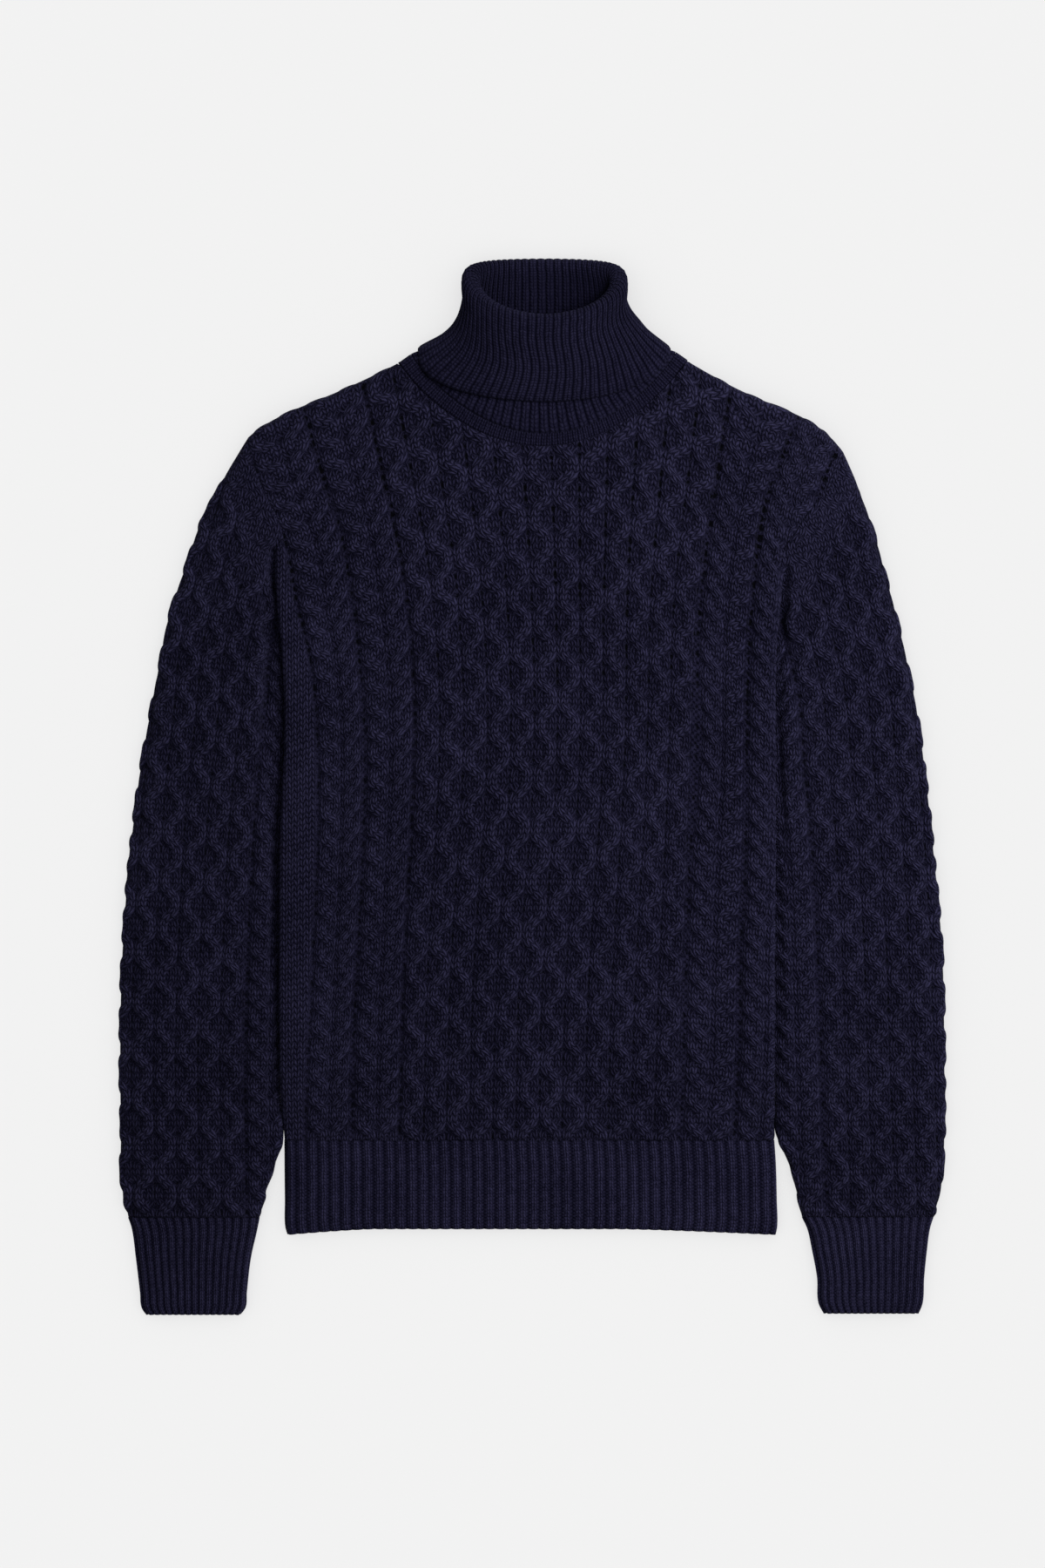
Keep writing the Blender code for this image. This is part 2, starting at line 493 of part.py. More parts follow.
def collar_rings():
    """Rings of the folded collar: up the stand, over the fold and down the turned part."""
    angles = neck_angles()
    cosine, sine = np.cos(angles), np.sin(angles)
    powers = np.linspace(FRONT_ROUNDNESS, FOLD_FRONT_ROUNDNESS, len(STAND_RINGS) + 2)
    stand = [neck_ring(ring, power, BACK_ROUNDNESS, angles)
             for ring, power in zip(STAND_RINGS, powers[1:])]
    start = band_rings()[-1]
    upward = stand[0] - start
    gap = SEAM_GAP * (1.0 + GAP_GROWTH * np.abs(cosine))
    rings = [start + (gap / np.linalg.norm(upward, axis=1))[:, None] * upward] + stand
    core = neck_ring(FOLD_RING, FOLD_FRONT_ROUNDNESS, BACK_ROUNDNESS, angles)
    radius = np.where(sine > 0.0,
                      FOLD_RADIUS_SIDE + (FOLD_RADIUS_FRONT - FOLD_RADIUS_SIDE) * np.abs(sine),
                      FOLD_RADIUS_SIDE + (FOLD_RADIUS_BACK - FOLD_RADIUS_SIDE) * np.abs(sine))
    outward = np.column_stack([cosine, np.zeros_like(cosine), sine])
    upward = np.array([0.0, 1.0, 0.0])
    for step in range(FOLD_STEPS + 1):
        turn = np.pi * step / FOLD_STEPS
        rings.append(core + radius[:, None] * (-np.cos(turn) * outward + np.sin(turn) * upward))
    for ring, power in zip(TURN_RINGS, TURN_ROUNDNESS):
        rings.append(neck_ring(ring, power, BACK_ROUNDNESS, angles))
    return rings


def band_rings():
    """Rings of the linking band, between the neckline and the collar."""
    angles = neck_angles()
    seam = neck_ring(SEAM_RING, FRONT_ROUNDNESS, 1.0, angles)
    front = neckline_y(seam[:, 0], NECK_DIP_FRONT, NECK_CURVE_FRONT)
    back = neckline_y(seam[:, 0], NECK_DIP_BACK, NECK_CURVE_BACK)
    clear = SEAM_GAP + BAND_CLEARANCE * RIB_WALL * np.cos(angles) ** 2
    seam[:, 1] = np.where(np.sin(angles) > 0.0, front, back) + clear
    return [seam, neck_ring(BAND_TOP, FRONT_ROUNDNESS, BAND_ROUNDNESS, angles)]


def wool(name):
    """Plain matt navy wool."""
    material = bpy.data.materials.new(name)
    material.use_nodes = True
    shader = material.node_tree.nodes["Principled BSDF"]
    shader.inputs["Base Color"].default_value = NAVY
    shader.inputs["Roughness"].default_value = WOOL_ROUGHNESS
    shader.inputs["Metallic"].default_value = 0.0
    return material


def add_object(name, points, faces, collection):
    """A named object from points in millimetres."""
    mesh = bpy.data.meshes.new(name)
    mesh.from_pydata([tuple(MM * value for value in point) for point in points], [], faces)
    mesh.update()
    piece = bpy.data.objects.new(name, mesh)
    piece.data.materials.append(wool(name + "_wool"))
    collection.objects.link(piece)
    return piece


def add_panel(name, dip, curve, front, collection):
    """A panel: its outer and inner sheets, joined round the border."""
    u, v = panel_grid()
    outer, inner = panel_sheets(u, v, dip, curve, front)
    columns, rows = u.shape
    count = columns * rows
    points = np.concatenate([outer.reshape(-1, 3), inner.reshape(-1, 3)])

    def at(i, j, layer):
        return layer * count + i * rows + j

    faces = []
    for i in range(columns - 1):
        for j in range(rows - 1):
            faces.append((at(i, j, 0), at(i + 1, j, 0), at(i + 1, j + 1, 0), at(i, j + 1, 0)))
            faces.append((at(i, j, 1), at(i, j + 1, 1), at(i + 1, j + 1, 1), at(i + 1, j, 1)))
    border = [(i, 0) for i in range(columns)] + [(columns - 1, j) for j in range(1, rows)]
    border += [(i, rows - 1) for i in range(columns - 2, -1, -1)] + [(0, j) for j in range(rows - 2, 0, -1)]
    for a, b in zip(border, border[1:] + border[:1]):
        faces.append((at(*a, 0), at(*a, 1), at(*b, 1), at(*b, 0)))
    if not front:
        faces = [face[::-1] for face in faces]
    return add_object(name, points, faces, collection)


def add_tube(name, rings, wall, offset, collection, flip, even=True):
    """An open tube through rings of equal count, given its cloth thickness by Solidify."""
    count = len(rings[0])
    points = np.concatenate(rings)
    faces = []
    for j in range(len(rings) - 1):
        for i in range(count):
            k = (i + 1) % count
            face = (j * count + i, j * count + k, (j + 1) * count + k, (j + 1) * count + i)
            faces.append(face[::-1] if flip else face)
    piece = add_object(name, points, faces, collection)
    solid = piece.modifiers.new("cloth", "SOLIDIFY")
    solid.thickness = wall * MM
    solid.offset = offset
    solid.use_even_offset = even
    return piece


def build():
    for old in list(bpy.data.objects):
        bpy.data.objects.remove(old, do_unlink=True)
    sweater = bpy.data.collections.new("aran_sweater")
    bpy.context.scene.collection.children.link(sweater)
    add_panel("front_panel", NECK_DIP_FRONT, NECK_CURVE_FRONT, True, sweater)
    add_panel("back_panel", NECK_DIP_BACK, NECK_CURVE_BACK, False, sweater)
    left = sleeve_rings(SLEEVE_LEFT, "left")
    right = sleeve_rings(SLEEVE_RIGHT, "right")
    add_tube("sleeve_left", left, CLOTH_WALL, -1.0, sweater, False, even=False)
    add_tube("sleeve_right", right, CLOTH_WALL, -1.0, sweater, True, even=False)
    add_tube("cuff_left", tube_rings(CUFF_LEFT), RIB_WALL, -1.0, sweater, True)
    add_tube("cuff_right", tube_rings(CUFF_RIGHT), RIB_WALL, -1.0, sweater, True)
    add_tube("hem_rib", tube_rings(HEM), RIB_WALL, -1.0, sweater, True)
    add_tube("neck_band", band_rings(), RIB_WALL, 0.0, sweater, False)
    add_tube("roll_collar", collar_rings(), RIB_WALL, 0.0, sweater, False)


build()
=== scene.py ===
"""Aran turtleneck sweater laid flat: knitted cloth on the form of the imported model.

Shapes are worked out in millimetres, in the frame of the model, and become metres in the meshes.
Each piece is a thin closed shell. Its outer sheet carries cables in relief, and every face
corner has stitch coordinates, which the wool material turns into rows of knit stitches.
"""
from collections import namedtuple

import bpy
import numpy as np
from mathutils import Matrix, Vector


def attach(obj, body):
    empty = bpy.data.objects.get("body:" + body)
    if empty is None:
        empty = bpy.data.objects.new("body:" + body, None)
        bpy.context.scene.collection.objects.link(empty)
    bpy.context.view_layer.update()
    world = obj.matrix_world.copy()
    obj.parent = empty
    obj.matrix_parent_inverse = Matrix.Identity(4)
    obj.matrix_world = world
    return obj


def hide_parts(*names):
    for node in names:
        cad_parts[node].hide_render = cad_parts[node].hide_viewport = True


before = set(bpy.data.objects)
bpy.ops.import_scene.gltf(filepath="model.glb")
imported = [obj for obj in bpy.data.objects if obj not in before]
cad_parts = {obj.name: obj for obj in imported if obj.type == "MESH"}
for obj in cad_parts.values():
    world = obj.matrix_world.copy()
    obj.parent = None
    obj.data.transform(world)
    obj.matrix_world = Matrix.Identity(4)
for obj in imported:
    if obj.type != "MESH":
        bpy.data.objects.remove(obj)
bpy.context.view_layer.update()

MM = 0.001
BOTH = ("left", "right")
UP = np.array([0.0, 0.0, 1.0])


def table(columns, *rows):
    """The named columns of a table that is written row by row."""
    return dict(zip(columns.split(), np.array(rows, float).T))


# ---------------------------------------------------------------- form, as in the solids
CLOTH_WALL = 2.6
RIB_WALL = 2.2
SEAM_GAP = 0.3
HEM_SEAM_Y = -267.7
UNDERARM_SHARE = 0.84
FRONT_NECK = (64.0, 0.9)     # how far a neckline dips, and the power of its curve
BACK_NECK = (7.0, 0.5)
NECK_LEFT = np.array([-101.4, 320.8])
NECK_RIGHT = np.array([117.4, 322.4])
SHOULDER_BULGE_LEFT = 4.2
SHOULDER_BULGE_RIGHT = 8.6
SHOULDER_FALL = 3.5          # how quickly the bulge fades towards the neck
EDGE_TOP, EDGE_BOTTOM = 14.2, 6.6    # where a side lies that its sleeve lifts,
EDGE_FLAT, EDGE_RUN = 12.0, 32.0     # this far in, and then falling over this width
LIFT = {                     # heights up the sheet where the lift starts, is full, and ends
    "left": (-262.0, -226.0, 152.0, 177.0),
    "right": (-262.0, -226.0, 138.0, 163.0),
}
SIDES = table(
    "y left right",
    (-267.7, -187.5, 183.0),
    (-240.0, -189.6, 183.2),
    (-200.0, -191.0, 183.0),
    (-95.0, -191.4, 183.5),
    (-40.0, -190.7, 184.0),
    (0.0, -188.8, 184.2),
    (40.0, -187.2, 184.0),
    (105.0, -189.4, 184.8),
    (135.0, -192.6, 187.2),
    (165.0, -194.6, 190.5),
    (179.0, -195.0, 191.0))
ARMHOLES = table(
    "share left_x left_y right_x right_y",
    (0.00, -195.0, 179.0, 190.5, 165.0),
    (0.12, -190.5, 187.0, 191.5, 176.0),
    (0.32, -193.5, 202.0, 200.6, 193.0),
    (0.58, -203.5, 223.0, 215.0, 213.5),
    (0.80, -211.0, 243.0, 229.0, 232.0),
    (1.00, -215.2, 264.3, 235.8, 253.0))
BODY_HEIGHTS = table(
    "y top",
    (-340.0, 7.8),
    (-267.7, 8.2),
    (-220.0, 9.2),
    (0.0, 9.8),
    (120.0, 10.6),
    (180.0, 11.6),
    (250.0, 12.8),
    (330.0, 13.0))

SLEEVE_FIELDS = "inner_x inner_y outer_x outer_y tuck lip height"
SLEEVES = {
    "left": table(
        SLEEVE_FIELDS,
        (-193.6, 179.6, -215.2, 264.3, 0.0, 11.6, 12.4),
        (-193.6, 170.0, -234.0, 233.0, 0.0, 6.6, 12.0),
        (-194.6, 158.0, -250.5, 202.0, 1.8, 5.7, 11.4),
        (-198.5, 146.0, -262.5, 168.0, 12.0, 5.6, 11.0),
        (-199.5, 108.0, -276.0, 128.0, 18.0, 5.6, 10.8),
        (-199.5, 60.0, -287.0, 72.0, 18.0, 5.6, 10.6),
        (-198.0, 10.0, -297.0, 14.0, 17.0, 5.6, 10.6),
        (-195.0, -55.0, -305.5, -55.0, 13.0, 5.6, 10.4),
        (-193.6, -125.0, -310.8, -125.0, 11.0, 5.6, 10.2),
        (-192.6, -190.0, -312.4, -190.0, 8.0, 5.6, 10.0),
        (-190.7, -228.0, -312.4, -228.0, 0.0, 6.2, 9.8),
        (-188.5, -262.0, -311.8, -262.0, 0.0, 7.6, 9.6),
        (-197.0, -292.0, -312.0, -293.0, 0.0, 8.2, 9.8),
        (-202.4, -310.0, -310.0, -310.0, 0.0, 8.2, 9.6),
        (-206.8, -326.0, -306.0, -326.0, 0.0, 8.0, 8.6)),
    "right": table(
        SLEEVE_FIELDS,
        (189.0, 165.8, 235.8, 253.0, 0.0, 11.6, 12.4),
        (188.2, 156.0, 247.5, 226.0, 0.0, 6.6, 12.0),
        (187.6, 144.0, 258.5, 196.0, 1.2, 5.7, 11.4),
        (189.4, 132.0, 267.5, 163.0, 8.0, 5.6, 11.0),
        (187.4, 98.0, 279.5, 117.0, 9.0, 5.6, 10.8),
        (186.4, 55.0, 291.0, 62.0, 10.0, 5.6, 10.6),
        (186.4, 5.0, 298.7, 5.0, 10.0, 5.6, 10.6),
        (186.0, -55.0, 305.5, -60.0, 10.0, 5.6, 10.4),
        (185.6, -125.0, 311.0, -125.0, 9.0, 5.6, 10.2),
        (185.4, -190.0, 312.6, -190.0, 8.0, 5.6, 10.0),
        (183.9, -228.0, 312.8, -228.0, 0.0, 6.2, 9.8),
        (184.2, -262.0, 312.8, -262.0, 0.0, 7.6, 9.6),
        (196.5, -289.0, 311.4, -290.0, 0.0, 8.2, 9.8),
        (200.8, -308.0, 309.2, -309.0, 0.0, 8.2, 9.6),
        (204.6, -325.6, 304.6, -325.6, 0.0, 8.0, 8.6)),
}
SLEEVE_AROUND, SLEEVE_LENGTH = 262.0, 585.0
SLEEVE_ROLL = 14.0
SLEEVE_RISE = 9.0
TIP_RUN = 1.6

TUBE_FIELDS = "y left right height"
CUFFS = {
    "left": table(
        TUBE_FIELDS,
        (-325.9, -305.6, -207.2, 8.4),
        (-333.5, -303.0, -208.6, 8.6),
        (-356.0, -299.8, -213.6, 8.6),
        (-383.0, -296.6, -216.8, 8.2),
        (-395.0, -295.2, -218.0, 7.8),
        (-399.5, -292.0, -221.5, 7.4)),
    "right": table(
        TUBE_FIELDS,
        (-325.5, 205.0, 304.2, 8.4),
        (-333.5, 208.8, 301.4, 8.6),
        (-352.0, 213.0, 298.6, 8.6),
        (-372.0, 216.6, 296.6, 8.2),
        (-391.5, 217.8, 295.4, 7.8),
        (-398.6, 221.5, 292.5, 7.4)),
}
HEM = table(
    TUBE_FIELDS,
    (-267.5, -187.5, 183.0, 8.2),
    (-285.0, -187.3, 184.2, 8.6),
    (-310.0, -187.1, 184.9, 8.4),
    (-329.5, -186.8, 185.2, 8.0),
    (-334.6, -185.4, 184.2, 7.4))
HEM_SAG = 4.4                # the hem's lower corners hang this far below its middle,
HEM_SAG_LEFT, HEM_SAG_RIGHT = 66.0, 119.0    # from this far in on each side

CollarRing = namedtuple(
    "CollarRing", "x_left x_right y_left y_right y_front y_back z_front z_back squareness power skew",
    defaults=[0.0])
SEAM_RING = CollarRing(-100.8, 117.0, 321.4, 323.0, 258.9, 314.2, 11.8, 1.1, 0.30, power=1.8)
BAND_TOP = CollarRing(-91.4, 108.4, 326.6, 328.2, 267.0, 320.0, 12.5, 1.7, 0.34, power=1.8)
STAND_RINGS = [
    CollarRing(-77.8, 94.0, 331.8, 332.4, 290.0, 330.0, 15.0, 4.2, 0.45, power=1.64),
    CollarRing(-57.4, 77.6, 345.4, 345.6, 315.0, 351.0, 18.2, 6.8, 0.60, power=1.475),
    CollarRing(-43.0, 62.3, 368.6, 367.2, 338.0, 384.0, 21.1, 9.0, 0.80, power=1.31),
]
FOLD_RING = CollarRing(-46.2, 65.0, 381.0, 380.0, 349.8, 395.0, 26.6, 5.2, 0.90, power=1.15)
TURN_RINGS = [
    CollarRing(-51.4, 70.4, 365.0, 362.8, 335.0, 380.0, 30.1, 1.1, 0.85, power=1.15),
    CollarRing(-59.6, 82.6, 345.6, 347.0, 313.0, 356.0, 25.0, 1.1, 0.70, power=1.05),
    CollarRing(-86.4, 104.6, 331.4, 331.2, 290.6, 333.4, 18.0, 1.1, 0.48, power=0.88, skew=0.15),
]
NECK_CLEAR = 0.05            # between the linking and the panels' cut edges
FOLD_RADIUS_FRONT = 4.6
FOLD_RADIUS_SIDE = 5.6
FOLD_RADIUS_BACK = 4.1
BACK_ROUNDNESS = 0.48
BAND_ROUNDNESS = 0.8

# ---------------------------------------------------------------- knitting
STITCH = 4.4                 # width of a stitch
CABLE = 17.4                 # width of a column of four stitches
CROSSING = 19.6              # height of one crossing on the body: four rows
SLEEVE_CROSSING = 18.3
ROWS = 4.0                   # rows in a crossing
FIRST_CELL_Y = -247.4        # a row of honeycomb cells on the front has its centres here
ROPE_SHIFTS = (0.45, 0.70, 0.95, 0.90)   # how far each horseshoe cable runs ahead, in crossings

PLAIN, PURL, LEANS_LEFT, LEANS_RIGHT, HONEY_A, HONEY_B = range(6)

CABLE_BASE = -1.1            # height of the ground between cables, from the solid's surface
CABLE_RISE = 3.5             # height of a strand above that ground
STRAND_HALF = 0.262          # half a strand's width, in columns
HONEY_SPAN, ROPE_SPAN = 0.66, 0.58    # the part of a crossing in which strands swap sides
REACH = 0.75                 # how far along a strand its nearest point is looked for
HONEY_FRONT, HONEY_BACK = 0.90, 0.26  # levels of a honeycomb's front and back strands,
HONEY_SWELL = 0.10                    # which part by this much more where they cross
ROPE_LEVEL, ROPE_SWELL = 0.66, 0.40
PLAIN_LEVEL, PURL_LEVEL = 0.30, -1.0
# painted light of plain knitting, of purl valleys darkened as in shade, and where relief is evened out
PLAIN_LIGHT, PURL_LIGHT, EVEN_LIGHT = 0.9, 0.45, 0.8

# valleys on the front that follow the photo: x at each y, from the hem up
PLAIN_EDGE = table(
    "y x",
    (-265.7, -172.3), (-228.7, -170.9), (-129.7, -165.7), (35.3, -162.4), (94.7, -167.6),
    (144.2, -178.9), (184.5, -186.8), (222.8, -203.9), (260.4, -216.5))
VALLEY_1 = table(
    "y x",
    (-265.7, -136.6), (-228.7, -136.6), (35.3, -127.1), (84.8, -130.0), (142.2, -136.6),
    (193.7, -145.2), (230.0, -157.1), (274.2, -169.6))
VALLEY_3 = table(
    "y x",
    (-265.7, 112.2), (-129.7, 116.2), (-67.7, 118.1), (35.3, 126.1), (111.2, 125.4),
    (156.1, 128.7), (194.4, 133.3), (224.7, 137.9), (270.3, 144.5))
VALLEY_4 = table(
    "y x",
    (-265.7, 152.5), (-195.7, 155.8), (-117.8, 157.1), (-76.9, 159.7), (111.2, 163.7),
    (148.8, 167.0), (206.2, 174.2), (224.7, 178.9), (262.4, 194.0))
HONEYCOMB = table(
    "y start end bow",
    (-240.0, -99.4, 110.5, -0.3),
    (-160.0, -97.2, 113.0, -0.8),
    (-80.0, -93.8, 116.0, 0.8),
    (-20.0, -90.4, 118.0, 2.8),
    (60.0, -88.4, 121.0, 2.8),
    (120.0, -92.0, 123.0, 2.6),
    (180.0, -100.2, 129.4, 2.1),
    (240.0, -113.2, 139.0, 1.6))
VALLEY_HALF = 2.1            # half the width of a purl valley
LOOSE_LOW = 0.45             # how open the ladders are low on the body
LOOSE_FROM, LOOSE_RUN = 20.0, 180.0  # from this far up they open, and are wide open this much higher
HONEY_INSET = 0.3            # the honeycomb starts this far from its first valley's line
HONEY_COLUMNS = 12
FAR_CABLE = 39.0             # from the last valley to the end of its horseshoe, round the edge
BEYOND = 400.0               # no part of a panel lies this far to either side
ROW_MIDDLE = 15.0            # rows sag evenly to both sides of this line
ROW_SAG_AT = 100.0           # and this far away from it they sag
ROW_SAG_LOW = 3.5            # by this much near the hem,
ROW_SAG_HIGH = 23.0          # and by this much near the neck,
ROW_SAG_TOP = 300.0          # which is this far up the sheet
ROW_SAG_TURN = 1.3           # beyond this many times that distance they go straight on

# one wale line on each sleeve, from which its columns are counted outwards
SLEEVE_LINES = {
    "left": table(
        "y x",
        (-261.7, -269.3), (-195.7, -269.9), (-8.9, -261.4), (58.4, -254.1), (102.0, -250.1),
        (131.0, -244.2), (162.7, -235.0)),
    "right": table(
        "y x",
        (-195.7, 253.4), (-103.3, 250.1), (-21.4, 244.9), (10.2, 241.6), (56.4, 238.3),
        (84.2, 234.3), (126.4, 223.7)),
}
SLEEVE_CABLE = 16.8
SLEEVE_HONEY = {"left": (-3, 8), "right": (-2, 9)}   # where its honeycomb starts and ends, in columns
SLEEVE_ROPE_SHIFT = 0.5
VALLEY_SHARE = 0.22          # width of a sleeve's purl valley, in columns
SLEEVE_END = 60.0            # a sleeve has fewer columns than this on either side of its line
CAP_PLAIN, CAP_RUN = 24.0, 10.0      # the cap is plain this near the armhole, give or take half this
BESIDE_BODY = 160.0          # below here a sleeve lies beside the body, and its cables
BESIDE_RUN = 4.0             # fade where it goes under, over this width
LINE_ENDS, LINE_POINTS = (-345.0, 300.0), 130    # how far up and down a wale line is drawn
TOP_SHARE = 0.46             # this share of a sleeve's ring, from its inner tip, lies on top

HEM_RIB = 8.4                # width of one knit and one purl rib
CUFF_RIB = 6.3
RIB_RELIEF = 0.75
RIB_KNIT = 0.5               # share of a rib that is knit
RIB_ROW = 2.5
RIB_QUADS, RIB_STEP = 8, 2.4         # quads across a rib, and their height
COLLAR_ROW = 2.1
COLLAR_RIB = 6.4
RibKnit = namedtuple("RibKnit", "ribs quads relief step hem")
LINKING_KNIT = RibKnit(ribs=128, quads=4, relief=0.25, step=1.5, hem=0.0)
COLLAR_KNIT = RibKnit(ribs=64, quads=8, relief=0.62, step=2.2, hem=0.34)
CUFF_TONE, HEM_TONE, COLLAR_TONE = 1.05, 0.99, 0.44   # how light each rib piece's colour is, its painted shade in the valleys included
MOUTH_SHADE, MOUTH_DARKEST_SHADE = 0.45, 0.05     # painted shade inside the neck: how much of the colour is left at its two sides
MOUTH_LIT, MOUTH_DARK = -10.0, 60.0      # the painted shade deepens between these places across
MOUTH_TRAVEL, MOUTH_RUN = 66.0, 12.0     # up to this far from the linking

# soft creases: points, depth and half-width
Crease = namedtuple("Crease", "points depth reach")
FRONT_CREASES = [
    Crease([(-203.0, 262.0), (-197.0, 236.0), (-187.0, 205.0), (-181.0, 170.0), (-176.0, 120.0)], 1.4, 5.0),
    Crease([(226.0, 250.0), (215.0, 228.0), (203.0, 205.0), (196.0, 186.0)], 1.5, 6.0),
    Crease([(-60.0, -40.0), (-20.0, 10.0), (30.0, 30.0)], 0.7, 22.0),
    Crease([(60.0, -180.0), (110.0, -120.0), (140.0, -40.0)], 0.6, 24.0),
    Crease([(-120.0, 80.0), (-110.0, 150.0), (-130.0, 210.0)], 0.6, 20.0),
]
BACK_CREASES = [
    Crease([(-150.0, 60.0), (-60.0, 20.0), (40.0, 30.0)], 0.9, 18.0),
    Crease([(120.0, -150.0), (40.0, -110.0), (-30.0, -130.0)], 0.8, 20.0),
    Crease([(90.0, 180.0), (130.0, 110.0), (140.0, 30.0)], 0.8, 16.0),
]
SLEEVE_CREASES = {
    "left": [
        Crease([(-222.0, 235.0), (-214.0, 205.0), (-204.0, 180.0)], 0.8, 8.0),
        Crease([(-285.0, 40.0), (-250.0, 20.0), (-215.0, 25.0)], 0.7, 16.0),
        Crease([(-300.0, -120.0), (-255.0, -140.0), (-215.0, -120.0)], 0.6, 18.0),
    ],
    "right": [
        Crease([(245.0, 226.0), (229.0, 195.0), (214.0, 182.0), (198.0, 176.0)], 1.8, 5.0),
        Crease([(262.0, 120.0), (235.0, 90.0), (205.0, 85.0)], 0.8, 14.0),
        Crease([(300.0, -60.0), (255.0, -80.0), (215.0, -60.0)], 0.6, 18.0),
    ],
}

# ---------------------------------------------------------------- numbers for the meshes
QUAD = 1.55                  # width of a quad on the cabled pieces,
QUAD_HEIGHT = 1.12 * QUAD    # and its height
COARSE = 4                   # quads of the outer sheet for one of the inner sheet
PANEL_WIDTH, PANEL_HEIGHT = 372.0, 560.0
EDGE_RADIUS = 5.0
EDGE_ANGLES = (0.0, 18.0, 36.0, 54.0, 72.0, 90.0)
FLOOR_CLEARANCE = 0.05
FOLD_REACH = 7.0             # relief is evened out this near a folded edge,
FRONT_AT_FOLD, BACK_AT_FOLD = 0.1, -0.5   # where the front is never lower and the back never higher
SEAM_DEPTH, SEAM_REACH = 0.9, 2.6    # the soft groove along an armhole seam
SEAM_LAP = 0.2               # the sleeve's head reaches this far over the seam's line
SIDE_RELIEF = 0.45           # share of the relief left where a sleeve turns over
SEAM_FADE, FOLD_FADE = 3.5, 6.0      # a panel's relief fades this near its seams and folded edges,
FOLD_RELIEF = 0.35           # down to this share on a fold
HEAD_FADE, CUFF_FADE = 5.0, 4.0      # and a sleeve's this near its two ends
RING_POINTS, FOLD_STEPS = 480, 7     # points of a collar's ring, and rings over its fold


def smooth_step(value):
    """Smooth ramp from 0 to 1."""
    t = np.clip(value, 0.0, 1.0)
    return t * t * (3.0 - 2.0 * t)


def through(knots, values, at, extend=False):
    """Smooth curve through values at knots; it can go straight on beyond its ends."""
    knots, values, at = (np.asarray(item, float) for item in (knots, values, at))
    apart = np.diff(knots) if values.ndim == 1 else np.diff(knots)[:, None]
    rising = np.diff(values, axis=0) / apart
    slopes = np.concatenate([rising[:1], 0.5 * (rising[1:] + rising[:-1]), rising[-1:]])
    inside = np.clip(at, knots[0], knots[-1])
    cell = np.clip(np.searchsorted(knots, inside, side="right") - 1, 0, len(knots) - 2)
    width = knots[cell + 1] - knots[cell]
    t = (inside - knots[cell]) / width
    if values.ndim > 1:
        width, t = width[:, None], t[:, None]
    start = (1 + 2 * t) * (1 - t) ** 2 * values[cell] + t * (1 - t) ** 2 * width * slopes[cell]
    end = t * t * (3 - 2 * t) * values[cell + 1] - t * t * (1 - t) * width * slopes[cell + 1]
    beyond = (at - inside) * np.where(at < knots[0], slopes[0], slopes[-1]) if extend else 0.0
    return start + end + beyond


def at_y(rows, name, y, extend=False):
    """A table's column read smoothly at places up the sheet."""
    return through(rows["y"], rows[name], y, extend)


def travelled(points):
    """Distance from the start of a polyline to each of its points."""
    return np.concatenate([[0.0], np.cumsum(np.linalg.norm(np.diff(points, axis=0), axis=1))])


def side_line(share, side):
    """Plan point of a body side: hem to underarm, then up the armhole to the shoulder."""
    share = np.asarray(share, float)
    below = np.clip(share / UNDERARM_SHARE, 0.0, 1.0)
    y_low = HEM_SEAM_Y + below * (ARMHOLES[side + "_y"][0] - HEM_SEAM_Y)
    above = np.clip((share - UNDERARM_SHARE) / (1.0 - UNDERARM_SHARE), 0.0, 1.0)
    x_high, y_high = (through(ARMHOLES["share"], ARMHOLES[side + axis], above) for axis in ("_x", "_y"))
    high = share > UNDERARM_SHARE
    return np.stack([np.where(high, x_high, at_y(SIDES, side, y_low)), np.where(high, y_high, y_low)], -1)


def shoulder_bulge(share):
    """Share of the shoulder's bulge, counted from the armhole to the neck."""
    scale = (SHOULDER_FALL + 1.0) * (1.0 + 1.0 / SHOULDER_FALL) ** SHOULDER_FALL
    return scale * share * (1.0 - share) ** SHOULDER_FALL


def top_line(share, neck):
    """Plan point of a panel's top: left shoulder, neckline with its dip, right shoulder."""
    share = np.asarray(share, float)
    dip, curve = neck
    left, right = side_line(1.0, "left"), side_line(1.0, "right")
    lengths = np.diff([left[0], NECK_LEFT[0], NECK_RIGHT[0], right[0]])
    start, end = np.cumsum(lengths)[:2] / lengths.sum()
    a, b, c = (np.clip((share - low) / (high - low), 0.0, 1.0)[..., None]
               for low, high in ((0.0, start), (start, end), (end, 1.0)))
    up = UP[1:]
    left_shoulder = left + a * (NECK_LEFT - left) + up * SHOULDER_BULGE_LEFT * shoulder_bulge(a)
    right_shoulder = (NECK_RIGHT + c * (right - NECK_RIGHT)
                      + up * SHOULDER_BULGE_RIGHT * shoulder_bulge(1.0 - c))
    across = 2.0 * b - 1.0
    neckline = (NECK_LEFT + b * (NECK_RIGHT - NECK_LEFT)
                - up * dip * np.clip(1.0 - across ** 2, 0.0, 1.0) ** curve)
    plan = np.where(a < 1.0, left_shoulder, neckline)
    return np.where(c > 0.0, right_shoulder, plan), start, end


def panel_plan(u, v, neck):
    """Plan point inside a panel, blended from its four border lines."""
    left, right, top = side_line(v, "left"), side_line(v, "right"), top_line(u, neck)[0]
    low_left, high_left, low_right, high_right = (side_line(end, side) for side in BOTH for end in (0.0, 1.0))
    u, v = u[..., None], v[..., None]
    bottom = low_left + u * (low_right - low_left)
    corners = ((1 - u) * (1 - v) * low_left + u * (1 - v) * low_right
               + (1 - u) * v * high_left + u * v * high_right)
    return (1 - v) * bottom + v * top + (1 - u) * left + u * right - corners


